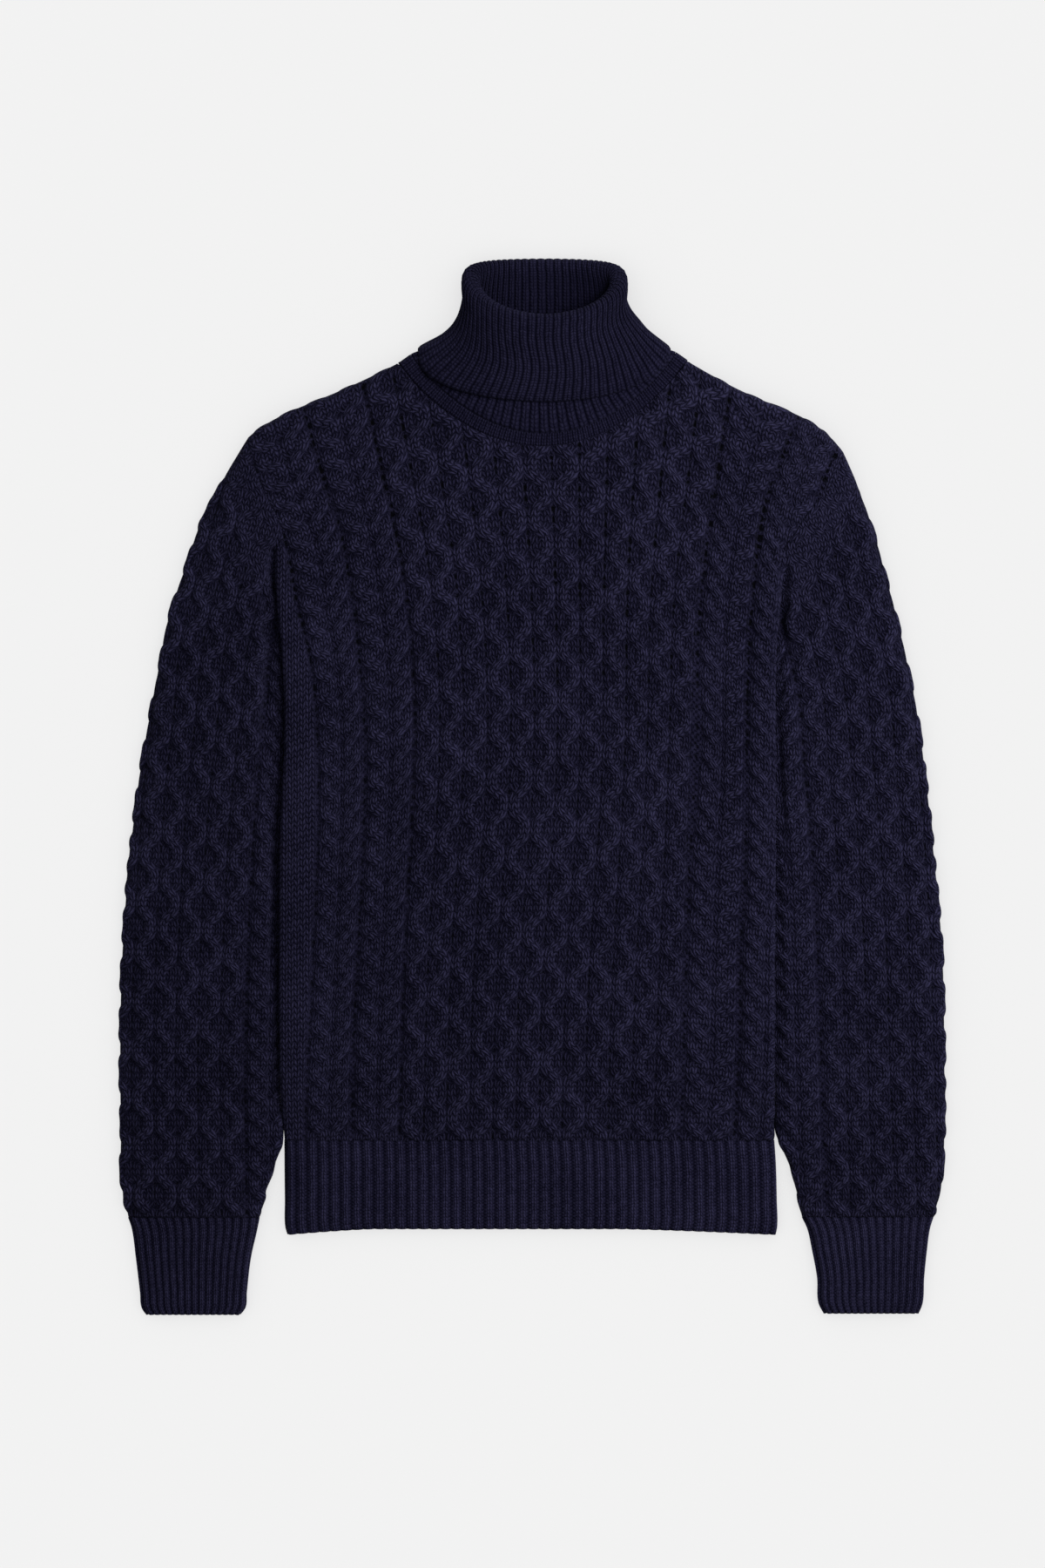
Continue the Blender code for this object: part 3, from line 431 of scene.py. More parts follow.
def distance_to(plan, lines):
    """Distance from plan points to the nearest of some polylines."""
    best = np.full(plan.shape[:-1], np.inf)
    for line in lines:
        for a, b in zip(line[:-1], line[1:]):
            along = b - a
            t = np.clip(((plan - a) @ along) / (along @ along), 0.0, 1.0)[..., None]
            best = np.minimum(best, np.linalg.norm(plan - (a + t * along), axis=-1))
    return best


def folded_edges():
    """The lines where the front turns over to the back: both sides and both shoulders."""
    start, end = top_line(0.0, FRONT_NECK)[1:]
    sides = [side_line(np.linspace(0.0, UNDERARM_SHARE, 24), side) for side in BOTH]
    return sides + [top_line(np.linspace(*ends, 28), FRONT_NECK)[0] for ends in ((0.0, start), (end, 1.0))]


def sewn_edges(neck):
    """The lines where a panel is sewn to something else: both armholes, hem and neckline."""
    start, end = top_line(0.0, neck)[1:]
    armholes = [side_line(np.linspace(UNDERARM_SHARE, 1.0, 12), side) for side in BOTH]
    hem = np.array([side_line(0.0, side) for side in BOTH])
    return armholes + [hem, top_line(np.linspace(start, end, 24), neck)[0]]


def body_heights(plan):
    """Underside and top of the whole body, both layers, before its edges are rounded."""
    x, y = plan[..., 0], plan[..., 1]
    lifted = np.zeros_like(x)
    for side, inward in (("left", 1.0), ("right", -1.0)):
        low, full_low, full_high, high = LIFT[side]
        share = smooth_step((y - low) / (full_low - low)) * smooth_step((high - y) / (high - full_high))
        inside = inward * (x - at_y(SIDES, side, y))
        lifted = np.maximum(lifted, share * (1.0 - smooth_step((inside - EDGE_FLAT) / EDGE_RUN)))
    centre_top = at_y(BODY_HEIGHTS, "top", y)
    return EDGE_BOTTOM * lifted, centre_top + (EDGE_TOP - centre_top) * lifted


def panel_surface(u, v, neck, front):
    """Outer surface of the front or back panel over a grid."""
    plan = panel_plan(u, v, neck)
    low, high = body_heights(plan)
    middle, radius = 0.5 * (low + high), 0.5 * (high - low) - 0.5 * SEAM_GAP
    cosine = 1.0 - np.clip(distance_to(plan, folded_edges()) / radius, 0.0, 1.0)
    side = 1.0 if front else -1.0
    height = middle + side * (0.5 * SEAM_GAP + radius * np.sqrt(1.0 - cosine ** 2))
    return np.concatenate([plan, height[..., None]], axis=-1)


def spans(length, step, multiple):
    """How many equal spans of about a step cover a length, as a whole number of multiples."""
    return max(multiple, int(round(length / step / multiple)) * multiple)


def panel_grid():
    """Grid shares of a panel: equal steps inside, and even arcs at the folded edges."""
    rounding = EDGE_RADIUS * (1.0 - np.cos(np.radians(EDGE_ANGLES)))
    inner = spans(PANEL_WIDTH - 2.0 * EDGE_RADIUS, QUAD, COARSE) + 2
    middle = np.linspace(EDGE_RADIUS, PANEL_WIDTH - EDGE_RADIUS, inner + 1)[1:-1]
    columns = np.concatenate([rounding, middle, PANEL_WIDTH - rounding[::-1]]) / PANEL_WIDTH
    low = np.linspace(0.0, PANEL_HEIGHT - EDGE_RADIUS, spans(PANEL_HEIGHT, QUAD_HEIGHT, COARSE) - 4)
    rows = np.concatenate([low, PANEL_HEIGHT - rounding[-2::-1]]) / PANEL_HEIGHT
    return np.meshgrid(columns, rows, indexing="ij")


def normals_of(points, closed):
    """Unit normals of a grid of points, from its neighbours."""
    across = np.roll(points, -1, 0) - np.roll(points, 1, 0) if closed else np.gradient(points, axis=0)
    normal = np.cross(across, np.gradient(points, axis=1))
    return normal / np.maximum(np.linalg.norm(normal, axis=-1, keepdims=True), 1e-9)


def tube_normals(rings, ring, outward=UP):
    """Outward normals of a tube, and whether its faces are turned over.

    A quarter of the way round, on the ring of that number, outward is known.
    """
    normals = normals_of(rings, True)
    flip = normals[len(rings) // 4, ring] @ outward < 0.0
    return normals * (-1.0 if flip else 1.0), flip


# ---------------------------------------------------------------- cables
def zigzag(t, span):
    """Sideways place of a strand t crossings up: it swaps sides within a span of each crossing."""
    step = np.floor(t)
    sway = 0.5 * smooth_step((t - step - 0.5 + 0.5 * span) / span) - 0.25
    return sway * (1.0 - 2.0 * np.mod(step, 2.0))


def strands(kind, x, t):
    """Both strands of a column, seen from share x of its width, t crossings up.

    Gives for each the signed distance from its middle line in column widths, the place along
    it in crossings, and its level.
    """
    honey = kind >= HONEY_A
    mirror = np.where((kind == LEANS_LEFT) | (kind == HONEY_B), -1.0, 1.0)
    span = np.where(honey, HONEY_SPAN, ROPE_SPAN)
    steps = np.linspace(-REACH, REACH, 13)
    found = []
    for side in (1.0, -1.0):
        best = np.full(np.shape(x), np.inf)
        place = np.zeros_like(best)
        away = np.zeros_like(best)
        start_x = 0.5 + side * mirror * zigzag(t + steps[0], span)
        for low, high in zip(steps[:-1], steps[1:]):
            end_x = 0.5 + side * mirror * zigzag(t + high, span)
            run_x, run_y = (end_x - start_x) * CABLE, (high - low) * CROSSING
            from_x, from_y = (x - start_x) * CABLE, -low * CROSSING
            share = np.clip((from_x * run_x + from_y * run_y) / (run_x ** 2 + run_y ** 2), 0.0, 1.0)
            gap_x, gap_y = from_x - share * run_x, from_y - share * run_y
            distance = gap_x ** 2 + gap_y ** 2
            closer = distance < best
            best = np.where(closer, distance, best)
            place = np.where(closer, t + low + share * (high - low), place)
            away = np.where(closer, np.sign(gap_x * run_y - gap_y * run_x), away)
            start_x = end_x
        wave = side * np.sin(np.pi * place)
        swell = HONEY_SWELL * np.sin(np.pi * place) ** 2
        honey_level = HONEY_FRONT + swell if side > 0.0 else HONEY_BACK - swell
        level = np.where(honey, honey_level, ROPE_LEVEL + ROPE_SWELL * wave)
        found.append((away * np.sqrt(best) / CABLE, place, level))
    return found


def crown(away):
    """Rounded cross-section of a strand, from 1 at its middle to 0 at its edge."""
    return np.clip(1.0 - (away / STRAND_HALF) ** 2, 0.0, 1.0) ** 0.5


def relief(kind, x, t):
    """Height of the knitting above the solid's surface, its painted light and shade, and how bare its ladders
    lie.
    """
    one, two = strands(kind, x, t)
    cable = CABLE_BASE + CABLE_RISE * np.maximum(one[2] * crown(one[0]), two[2] * crown(two[0]))
    over = np.where(one[2] >= two[2], one[0], two[0])
    drop = np.minimum(0.9, 1.3 * np.abs(one[2] - two[2]))
    apart = np.abs(over) - STRAND_HALF
    beside = smooth_step((apart + 0.03) / 0.20)
    edge = smooth_step((0.02 - apart) / 0.09)
    # painted shade: a strand darkens at its edges, and the lower strand darkens beside the upper one
    light = np.where(apart < 0.0, 0.6 + 0.4 * edge, 1.0 - drop * (1.0 - 0.5 * beside))
    bare = smooth_step((apart + 0.03) / 0.12)
    is_plain, is_purl = kind == PLAIN, kind == PURL
    level = np.where(is_plain, PLAIN_LEVEL, np.where(is_purl, PURL_LEVEL, cable))
    light = np.where(is_plain, PLAIN_LIGHT, np.where(is_purl, PURL_LIGHT, light))
    bare = np.where(kind >= HONEY_A, bare, np.where(is_purl, 1.0, 0.0))
    return level, light, bare


def stitch_places(kind, x, t, centre_x, centre_t, width):
    """Stitch coordinates of face corners, each face keeping to one strand."""
    one, two = strands(kind, centre_x, centre_t)
    on_first = one[2] * crown(one[0]) >= two[2] * crown(two[0])
    first, second = strands(kind, x, t)
    away, place = (np.where(on_first, first[k], second[k]) for k in range(2))
    s = 1.0 + 4.0 * away + np.where(on_first, 0.0, 2.0)
    flat = (kind == PLAIN) | (kind == PURL)
    return np.where(flat, x * width / STITCH, s), ROWS * np.where(flat, t, place)


Chart = namedtuple("Chart", "kinds edges across rise shifts")


def place_in(chart, strip, vertex):
    """Share across a strip, and crossings up it, of some vertices."""
    low, high = chart.edges[strip, vertex], chart.edges[strip + 1, vertex]
    x = (chart.across[vertex] - low) / np.maximum(high - low, 0.5)
    return x, chart.rise[vertex] + chart.shifts[strip]


def strip_at(chart, edges, across):
    """Number of the strip that holds each place across."""
    return np.clip((edges <= across).sum(axis=0) - 1, 0, len(chart.kinds) - 1)


def knit(chart, shape):
    """Height, painted light and shade, bareness and whether it is purl, at every vertex of a grid of that
    shape.
    """
    strip = strip_at(chart, chart.edges, chart.across)
    kind = chart.kinds[strip]
    found = relief(kind, *place_in(chart, strip, np.arange(strip.size)))
    return [part.reshape(shape) for part in found + ((kind == PURL).astype(float),)]


def knit_corners(chart, quads):
    """Stitch coordinates, and distance to the nearest ladder, of every corner of the quads."""
    strip = strip_at(chart, chart.edges[:, quads].mean(axis=2), chart.across[quads].mean(axis=1))
    strip, corner = np.repeat(strip, 4), quads.ravel()
    kind = chart.kinds[strip]
    x, t = place_in(chart, strip, corner)
    width = chart.edges[strip + 1, corner] - chart.edges[strip, corner]
    centre_x, centre_t = (np.repeat(place.reshape(-1, 4).mean(axis=1), 4) for place in (x, t))
    s, r = stitch_places(kind, x, t, centre_x, centre_t, width)
    ladder = np.where(kind == PURL, x - 0.5, np.where(centre_x < 0.5, x, x - 1.0)) * width
    return np.stack([s + 8.0 * strip, r], 1), np.stack([ladder, ROWS * chart.rise[corner]], 1)


# ---------------------------------------------------------------- meshes
def add_object(name, data):
    """A new object in the scene."""
    thing = bpy.data.objects.new(name, data)
    bpy.context.scene.collection.objects.link(thing)
    return thing


def grid_faces(columns, rows, closed, step=1):
    """Corner numbers of a grid's quads, taking every step-th point."""
    i = np.arange(0, columns if closed else columns - 1, step)
    i, j = (part.ravel() for part in np.meshgrid(i, np.arange(0, rows - 1, step), indexing="ij"))
    k = (i + step) % columns
    return np.stack([i * rows + j, k * rows + j, k * rows + j + step, i * rows + j + step], 1)


def border_faces(columns, rows, closed, step, inner_of):
    """Faces that join the outer sheet's fine border to the inner sheet's coarse one."""
    around = [i % columns for i in range(columns + 1 if closed else columns)]
    lines = [[i * rows for i in around], [i * rows + rows - 1 for i in around[::-1]]]
    if not closed:
        lines += [[(columns - 1) * rows + j for j in range(rows)], list(range(rows - 1, -1, -1))]
    faces = []
    for line in lines:
        for start in range(0, len(line) - 1, step):
            run = line[start:start + step + 1]
            faces.append(run[::-1] + [inner_of[run[0]], inner_of[run[-1]]])
    return faces


def shell(name, outer, inner, closed, flip, corners, shade, purl, bare, step, material,
          inner_corners=None, inner_shade=None):
    """A closed thin piece from its outer and inner sheets of points, with its stitch maps."""
    columns, rows = outer.shape[:2]
    quads = grid_faces(columns, rows, closed)
    coarse = grid_faces(columns, rows, closed, step)
    used = np.unique(coarse)
    number = np.full(columns * rows, -1)
    number[used] = columns * rows + np.arange(len(used))
    points = np.concatenate([outer.reshape(-1, 3), inner.reshape(-1, 3)[used]]) * MM
    faces = quads.tolist() + number[coarse][:, ::-1].tolist()
    faces += border_faces(columns, rows, closed, step, number)
    if flip:
        faces = [face[::-1] for face in faces]
    mesh = bpy.data.meshes.new(name)
    mesh.from_pydata(points.tolist(), [], faces)
    mesh.polygons.foreach_set("use_smooth", np.ones(len(faces), bool))
    vertex = np.zeros(len(mesh.loops), np.int32)
    mesh.loops.foreach_get("vertex_index", vertex)
    outside, both_sheets = 4 * len(quads), 4 * (len(quads) + len(coarse))
    turn = slice(None, None, -1 if flip else 1)
    elsewhere = {"stitch": points[vertex, :2] / MM / STITCH, "ladder": (CABLE, 0.0)}
    for k, (label, values) in enumerate(elsewhere.items()):
        layer = mesh.uv_layers.new(name=label, do_init=False)
        places = np.empty((len(vertex), 2), np.float32)
        places[:] = values
        places[:outside] = corners[k].reshape(-1, 4, 2)[:, turn].reshape(-1, 2)
        if inner_corners is not None:
            turned = inner_corners[k].reshape(-1, 4, 2)[:, ::-1]
            places[outside:both_sheets] = turned[:, turn].reshape(-1, 2)
        layer.uv.foreach_set("vector", places.ravel())
    nothing = np.zeros(columns * rows)
    inside = {"shade": nothing if inner_shade is None else inner_shade.ravel()}
    for label, values in (("shade", shade), ("purl", purl), ("bare", bare)):
        found = np.concatenate([values.ravel(), inside.get(label, nothing)[used]]).astype(np.float32)
        mesh.attributes.new(label, "FLOAT", "POINT").data.foreach_set("value", found)
    mesh.update()
    mesh.materials.append(material)
    return add_object(name, mesh)


def crease_depth(plan, creases):
    """How far soft creases lower the surface at plan points."""
    depth = np.zeros(plan.shape[:-1])
    for crease in creases:
        share = distance_to(plan, [np.array(crease.points)]) / crease.reach
        depth = np.maximum(depth, crease.depth * np.exp(-share * share))
    return depth


def above_floor(points):
    """Points, none of them lower than the floor."""
    return np.maximum(points, np.where(UP > 0.0, FLOOR_CLEARANCE, -np.inf))


def raised(points, normals, height, share=1.0):
    """The surface moved out by the relief; what faces the floor is only ever moved in."""
    facing_down = np.clip(-normals[..., 2], 0.0, 1.0) * share
    height = height - facing_down * (CABLE_BASE + CABLE_RISE)
    return above_floor(points + height[..., None] * normals)


# ---------------------------------------------------------------- body
def rise_at(x, y):
    """Crossings up the body at plan points: the rows sag towards the sides."""
    away = np.abs(x - ROW_MIDDLE) / ROW_SAG_AT
    bend = np.where(away < ROW_SAG_TURN, away ** 2, ROW_SAG_TURN * (2.0 * away - ROW_SAG_TURN))
    share = np.clip((y - HEM_SEAM_Y) / (ROW_SAG_TOP - HEM_SEAM_Y), 0.0, 1.0)
    sag = ROW_SAG_LOW + (ROW_SAG_HIGH - ROW_SAG_LOW) * share
    return (y + sag * bend - FIRST_CELL_Y) / CROSSING


def body_chart(x, y):
    """Strips across the body: plain, horseshoe, horseshoe, honeycomb, horseshoe, horseshoe."""
    plain, first, third, fourth = (
        at_y(line, "x", y, True) for line in (PLAIN_EDGE, VALLEY_1, VALLEY_3, VALLEY_4))
    start, end, bow = (at_y(HONEYCOMB, name, y, True) for name in ("start", "end", "bow"))
    edges, kinds, shifts = [np.full_like(y, -BEYOND)], [], []

    def add(edge, kind, shift=0.0):
        edges.append(edge)
        kinds.append(kind)
        shifts.append(shift)

    def horseshoe(left, right, shift):
        add(0.5 * (left + right), LEANS_LEFT, shift)
        add(right - VALLEY_HALF, LEANS_RIGHT, shift)

    add(plain - 0.7 * VALLEY_HALF, PLAIN)
    add(plain + 0.7 * VALLEY_HALF, PURL)
    horseshoe(plain, first, ROPE_SHIFTS[0])
    add(first + VALLEY_HALF, PURL)
    horseshoe(first, start, ROPE_SHIFTS[1])
    add(start + HONEY_INSET, PURL)
    for number in range(HONEY_COLUMNS):
        share = (number + 1.0) / HONEY_COLUMNS
        add(start + share * (end - start) + 4.0 * share * (1.0 - share) * bow, HONEY_A + number % 2)
    add(third + VALLEY_HALF, PURL)
    for left, right, shift in ((third, fourth, ROPE_SHIFTS[2]), (fourth, fourth + FAR_CABLE, ROPE_SHIFTS[3])):
        horseshoe(left, right, shift)
        add(right + VALLEY_HALF, PURL)
    add(np.full_like(y, BEYOND), PLAIN)
    return Chart(np.array(kinds), np.stack(edges), x, rise_at(x, y), np.array(shifts))


def make_panel(name, front, material):
    """The front or back: cables in relief on the outside, plain cloth inside."""
    neck = FRONT_NECK if front else BACK_NECK
    u, v = panel_grid()
    points = panel_surface(u, v, neck, front)
    normals = normals_of(points, False) * (1.0 if front else -1.0)
    plan = points[..., :2]
    chart = body_chart(plan[..., 0].ravel(), plan[..., 1].ravel())
    height, light, bare, purl = knit(chart, u.shape)
    seams = sewn_edges(neck)
    near_fold = distance_to(plan, folded_edges())
    keep = (smooth_step(distance_to(plan, seams) / SEAM_FADE + 0.25)
            * (FOLD_RELIEF + (1.0 - FOLD_RELIEF) * smooth_step(near_fold / FOLD_FADE)))
    height = height * keep
    inside = smooth_step(near_fold / FOLD_REACH)
    at_fold = np.maximum(height, FRONT_AT_FOLD) if front else np.minimum(height, BACK_AT_FOLD * keep)
    height = at_fold + (height - at_fold) * inside
    height = height - inside * crease_depth(plan, FRONT_CREASES if front else BACK_CREASES)
    height = height - inside * SEAM_DEPTH * np.exp(-(distance_to(plan, seams[:2]) / SEAM_REACH) ** 2)
    shade = EVEN_LIGHT + (light - EVEN_LIGHT) * keep
    held_open = LOOSE_LOW + (1.0 - LOOSE_LOW) * smooth_step((plan[..., 1] - LOOSE_FROM) / LOOSE_RUN)
    return shell(name, raised(points, normals, height, keep), points - CLOTH_WALL * normals, False,
                 not front, knit_corners(chart, grid_faces(*u.shape, False)), shade, purl,
                 bare * keep * held_open, COARSE, material)


# ---------------------------------------------------------------- sleeves
def arc(centre, radii, start, end, count):
    """Points on an elliptical arc."""
    angles = np.radians(np.linspace(start, end, count))
    return np.column_stack([centre[0] + radii[0] * np.cos(angles), centre[1] + radii[1] * np.sin(angles)])


def resample(points, count, closed_end=False):
    """Evenly spaced points along a polyline."""
    length = travelled(points)
    at = np.linspace(0.0, length[-1], count, endpoint=not closed_end)
    return np.column_stack([np.interp(at, length, axis) for axis in points.T])


def sleeve_section(width, tuck, lip, height, roll):
    """Closed cross-section of a sleeve: distance from its inner tip, and height."""
    tip, bend = 0.5 * lip, 0.5 * height
    rise_start = max(tuck, TIP_RUN * tip)
    share = np.linspace(0.0, 1.0, 9)
    flat_end = width - roll
    rise = np.column_stack([rise_start + SLEEVE_RISE * share, lip + (height - lip) * smooth_step(share)])
    return np.concatenate([
        arc((tip, tip), (tip, tip), 180.0, 90.0, 9),
        rise,
        [(flat_end, height)],
        arc((flat_end, bend), (roll, bend), 90.0, -90.0, 25)[1:],
        arc((tip, tip), (tip, tip), 270.0, 180.0, 9),
    ])


def sleeve_surface(side, columns, count):
    """Rings of a sleeve from the armhole to the cuff seam, and how far along it each lies."""
    rows = SLEEVES[side]
    middle = 0.5 * np.stack([rows["inner_x"] + rows["outer_x"], rows["inner_y"] + rows["outer_y"]], 1)
    station = travelled(middle)
    at = np.linspace(0.0, station[-1], count)
    back = middle[0] - middle[1]
    lap = SEAM_LAP * back / np.linalg.norm(back)
    values = {name: through(station, rows[name], at) for name in rows}
    seam = resample(side_line(np.linspace(UNDERARM_SHARE, 1.0, 60), side), 60)
    even = np.linspace(0.0, 1.0, 60)
    bow = seam - (seam[0] + even[:, None] * (seam[-1] - seam[0]))
    rings = np.empty((columns, count, 3))
    for j in range(count):
        inner_x, inner_y, outer_x, outer_y, tuck, lip, height = (values[name][j] for name in rows)
        inner, outer = np.array([inner_x, inner_y]), np.array([outer_x, outer_y])
        width = np.linalg.norm(outer - inner)
        tuck = max(tuck, 0.0)
        fade = np.clip(at[j] / station[1], 0.0, 1.0)
        roll = min(0.5 * height + (SLEEVE_ROLL - 0.5 * height) * fade, SLEEVE_ROLL)
        section = resample(sleeve_section(width + tuck, tuck, lip, height, roll), columns, closed_end=True)
        share = np.clip(section[:, 0] / (width + tuck), 0.0, 1.0)
        plan = inner + (section[:, :1] - tuck) * ((outer - inner) / width) + (1.0 - fade) * lap
        plan += (1.0 - fade) * np.column_stack([np.interp(share, even, axis) for axis in bow.T])
        rings[:, j] = np.column_stack([plan, section[:, 1]])
    return rings, at


def line_frame(plan, line_x, outward):
    """Signed distance of plan points from a wale line, and how far along it they lie."""
    y = np.linspace(*LINE_ENDS, LINE_POINTS)
    line = np.column_stack([at_y(line_x, "x", y, True), y])
    start = travelled(line)
    best = np.full(plan.shape[:-1], np.inf)
    across = np.zeros_like(best)
    along = np.zeros_like(best)
    for k, step in enumerate(np.diff(line, axis=0)):
        length = np.linalg.norm(step)
        away = plan - line[k]
        share = np.clip((away @ step) / length ** 2, 0.0, 1.0)
        offset = away - share[..., None] * step
        distance = np.linalg.norm(offset, axis=-1)
        closer = distance < best
        best = np.where(closer, distance, best)
        across = np.where(closer, outward * np.sign(offset[..., 0]) * distance, across)
        along = np.where(closer, start[k] + share * length, along)
    return across, along


def sleeve_chart(rings, side, outward):
    """Strips round a sleeve, counted from its wale line: horseshoe, honeycomb, horseshoe."""
    across, along = line_frame(rings[..., :2], SLEEVE_LINES[side], outward)
    step = np.sqrt(np.diff(across, axis=0) ** 2 + np.diff(rings[..., 2], axis=0) ** 2)
    around = np.concatenate([np.zeros((1, rings.shape[1])), np.cumsum(step, axis=0)])
    top = int(len(rings) * TOP_SHARE)
    for j in range(rings.shape[1]):
        around[:, j] -= np.interp(0.0, across[:top, j], around[:top, j])
    start, end = SLEEVE_HONEY[side]
    low, high = start - VALLEY_SHARE, end + VALLEY_SHARE
    edges = np.array([-SLEEVE_END, low - 2.0 - VALLEY_SHARE, low - 2.0, low - 1.0, low,
                      *range(start, end + 1),
                      high, high + 1.0, high + 2.0, high + 2.0 + VALLEY_SHARE, SLEEVE_END])
    horseshoe = [PURL, LEANS_LEFT, LEANS_RIGHT, PURL]
    honeycomb = [HONEY_A + number % 2 for number in range(start, end)]
    kinds = np.array([PLAIN] + horseshoe + honeycomb + horseshoe + [PLAIN])
    edges = np.repeat(edges[:, None] * SLEEVE_CABLE, around.size, axis=1)
    shifts = np.where(np.isin(kinds, (LEANS_LEFT, LEANS_RIGHT)), SLEEVE_ROPE_SHIFT, 0.0)
    return Chart(kinds, edges, around.ravel(), along.ravel() / SLEEVE_CROSSING, shifts)


def make_sleeve(name, side, material):
    """A sleeve: one flattened tube with cables in relief all round."""
    outward = 1.0 if side == "right" else -1.0
    columns = spans(SLEEVE_AROUND, QUAD, COARSE)
    count = spans(SLEEVE_LENGTH, QUAD_HEIGHT, COARSE) + 1
    rings, station = sleeve_surface(side, columns, count)
    plan = rings[..., :2]
    normals, flip = tube_normals(rings, count // 2)
    chart = sleeve_chart(rings, side, outward)
    height, light, bare, purl = knit(chart, (columns, count))
    seam = side_line(np.linspace(UNDERARM_SHARE, 1.0, 12), side)
    cap = smooth_step((distance_to(plan, [seam]) - CAP_PLAIN) / CAP_RUN + 0.5)
    ends = smooth_step(station / HEAD_FADE + 0.1) * smooth_step((station[-1] - station) / CUFF_FADE + 0.1)
    under_body = smooth_step(outward * (plan[..., 0] - at_y(SIDES, side, plan[..., 1])) / BESIDE_RUN + 0.2)
    height = PLAIN_LEVEL + (height - PLAIN_LEVEL) * cap
    height = height * ends * np.where(plan[..., 1] < BESIDE_BODY, under_body, 1.0)
    height = height * (SIDE_RELIEF + (1.0 - SIDE_RELIEF) * np.abs(normals[..., 2]))
    height = height - SEAM_DEPTH * np.exp(-(station / SEAM_REACH) ** 2) * normals[..., 2] ** 2
    height = height - crease_depth(plan, SLEEVE_CREASES[side]) * np.clip(normals[..., 2], 0.0, 1.0)
    shade = EVEN_LIGHT + (light - EVEN_LIGHT) * ends * cap
    return shell(name, raised(rings, normals, height, ends), above_floor(rings - CLOTH_WALL * normals), True,
                 flip, knit_corners(chart, grid_faces(columns, count, True)), shade, purl * cap,
                 LOOSE_LOW * bare * ends * cap, COARSE, material)


# ---------------------------------------------------------------- ribs
def rib_wave(ribs):
    """Height share of a 1x1 rib: a rounded knit ridge and a narrow purl valley."""
    return np.abs(np.cos(np.pi * ribs)) ** 0.8 * 2.0 - 1.0


def rib_corners(quads, ribs, rows, knit_share=1.0):
    """Stitch coordinates in ribs: a knit column on each ridge, and purl between."""
    place = ribs.ravel()[quads]
    centre = place.mean(axis=1, keepdims=True)
    middle = np.floor(centre + 0.5)
    beyond = np.abs(centre - middle) > 0.5 * knit_share
    away = place - middle
    turned = 1.5 + (np.abs(away) - 0.5) / max(1.0 - knit_share, 0.01)
    purl_place = np.sign(away) * (turned - 0.5) + 0.5
    s = (2.0 * middle + np.where(beyond, purl_place, 0.5 + away / knit_share)).ravel()
    r = rows.ravel()[quads].ravel()
    return np.stack([s, r], 1), np.stack([np.full_like(s, CABLE), r], 1)


def tube_section(left, right, height, count):
    """Evenly spaced points round a plain flattened tube."""
    bend = 0.5 * height
    outline = np.concatenate([
        [(left + bend, height), (right - bend, height)],
        arc((right - bend, bend), (bend, bend), 90.0, -90.0, 13)[1:],
        [(left + bend, 0.0)],
        arc((left + bend, bend), (bend, bend), 270.0, 90.0, 13)[1:],
    ])
    return resample(outline, count, closed_end=True)


def make_tube(name, rows, rib, tone, sagging, material):
    """A cuff or the hem: a flattened tube of 1x1 rib."""
    y = rows["y"]
    left, right, height = (rows[field][1] for field in ("left", "right", "height"))
    columns = int(round((2.0 * (right - left) + np.pi * height - 2.0 * height) / rib)) * RIB_QUADS
    count = spans(y[0] - y[-1], RIB_STEP, 2) + 1
    at = np.linspace(y[0], y[-1], count)
    travel = at[0] - at
    rings = np.empty((columns, count, 3))
    for j, place in enumerate(at):
        left, right, height = (through(-y, rows[field], -place) for field in ("left", "right", "height"))
        section = tube_section(left, right, height, columns)
        sag = np.maximum((left + HEM_SAG_LEFT - section[:, 0]) / HEM_SAG_LEFT,
                         (section[:, 0] - right + HEM_SAG_RIGHT) / HEM_SAG_RIGHT).clip(0.0, 1.0) ** 1.3
        drop = sagging * sag * (y[0] - place) / (y[0] - y[-1])
        rings[:, j] = np.column_stack([section[:, 0], place - drop, section[:, 1]])
    normals, flip = tube_normals(rings, count // 2)
    number = np.repeat(np.arange(columns)[:, None] / RIB_QUADS, count, axis=1)
    wave = rib_wave(number)
    purl = np.clip(4.0 * np.abs(number - np.floor(number + 0.5)) - 0.5, 0.0, 1.0)
    height = RIB_RELIEF * wave - np.clip(-normals[..., 2], 0.0, 1.0) * (RIB_RELIEF - CABLE_BASE - CABLE_RISE)
    rib_rows = np.repeat(travel[None], columns, axis=0) / RIB_ROW
    # painted shade: rib valleys darker than ridges, and dark dots as shade in the holes along the seam at the
    # top
    seam_hole_shade = purl * np.exp(-(travel / 2.5) ** 2)
    shade = tone * (0.5 + 0.5 * wave) * (1.0 - 0.9 * seam_hole_shade)
    corners = rib_corners(grid_faces(columns, count, True), number, rib_rows, RIB_KNIT)
    return shell(name, raised(rings, normals, height), rings - RIB_WALL * normals, True, flip,
                 corners, shade, purl, 0.0 * shade, 2, material)


# ---------------------------------------------------------------- collar
def neck_ring(ring, angles, back_power=BACK_ROUNDNESS):
    """Points of one collar ring; angle 90 degrees is the front and 270 the back."""
    cosine, sine = np.cos(angles), np.sin(angles)
    x = 0.5 * (ring.x_right + ring.x_left) + 0.5 * (ring.x_right - ring.x_left) * cosine
    side_y = 0.5 * (ring.y_left + ring.y_right) + 0.5 * (ring.y_right - ring.y_left) * cosine
    front = side_y + (ring.y_front - side_y) * np.abs(sine) ** (ring.power + ring.skew * cosine)
    back = side_y + (ring.y_back - side_y) * np.abs(sine) ** back_power
    reach = 0.5 * (ring.z_front - ring.z_back)
    z = 0.5 * (ring.z_front + ring.z_back) + reach * np.sign(sine) * np.abs(sine) ** ring.squareness
    return np.column_stack([x, np.where(sine > 0.0, front, back), z])


def neckline_y(x, neck):
    """Height up the sheet of a panel's neckline at x."""
    line = top_line(np.linspace(0.0, 1.0, 200), neck)[0]
    return np.interp(x, line[:, 0], line[:, 1])


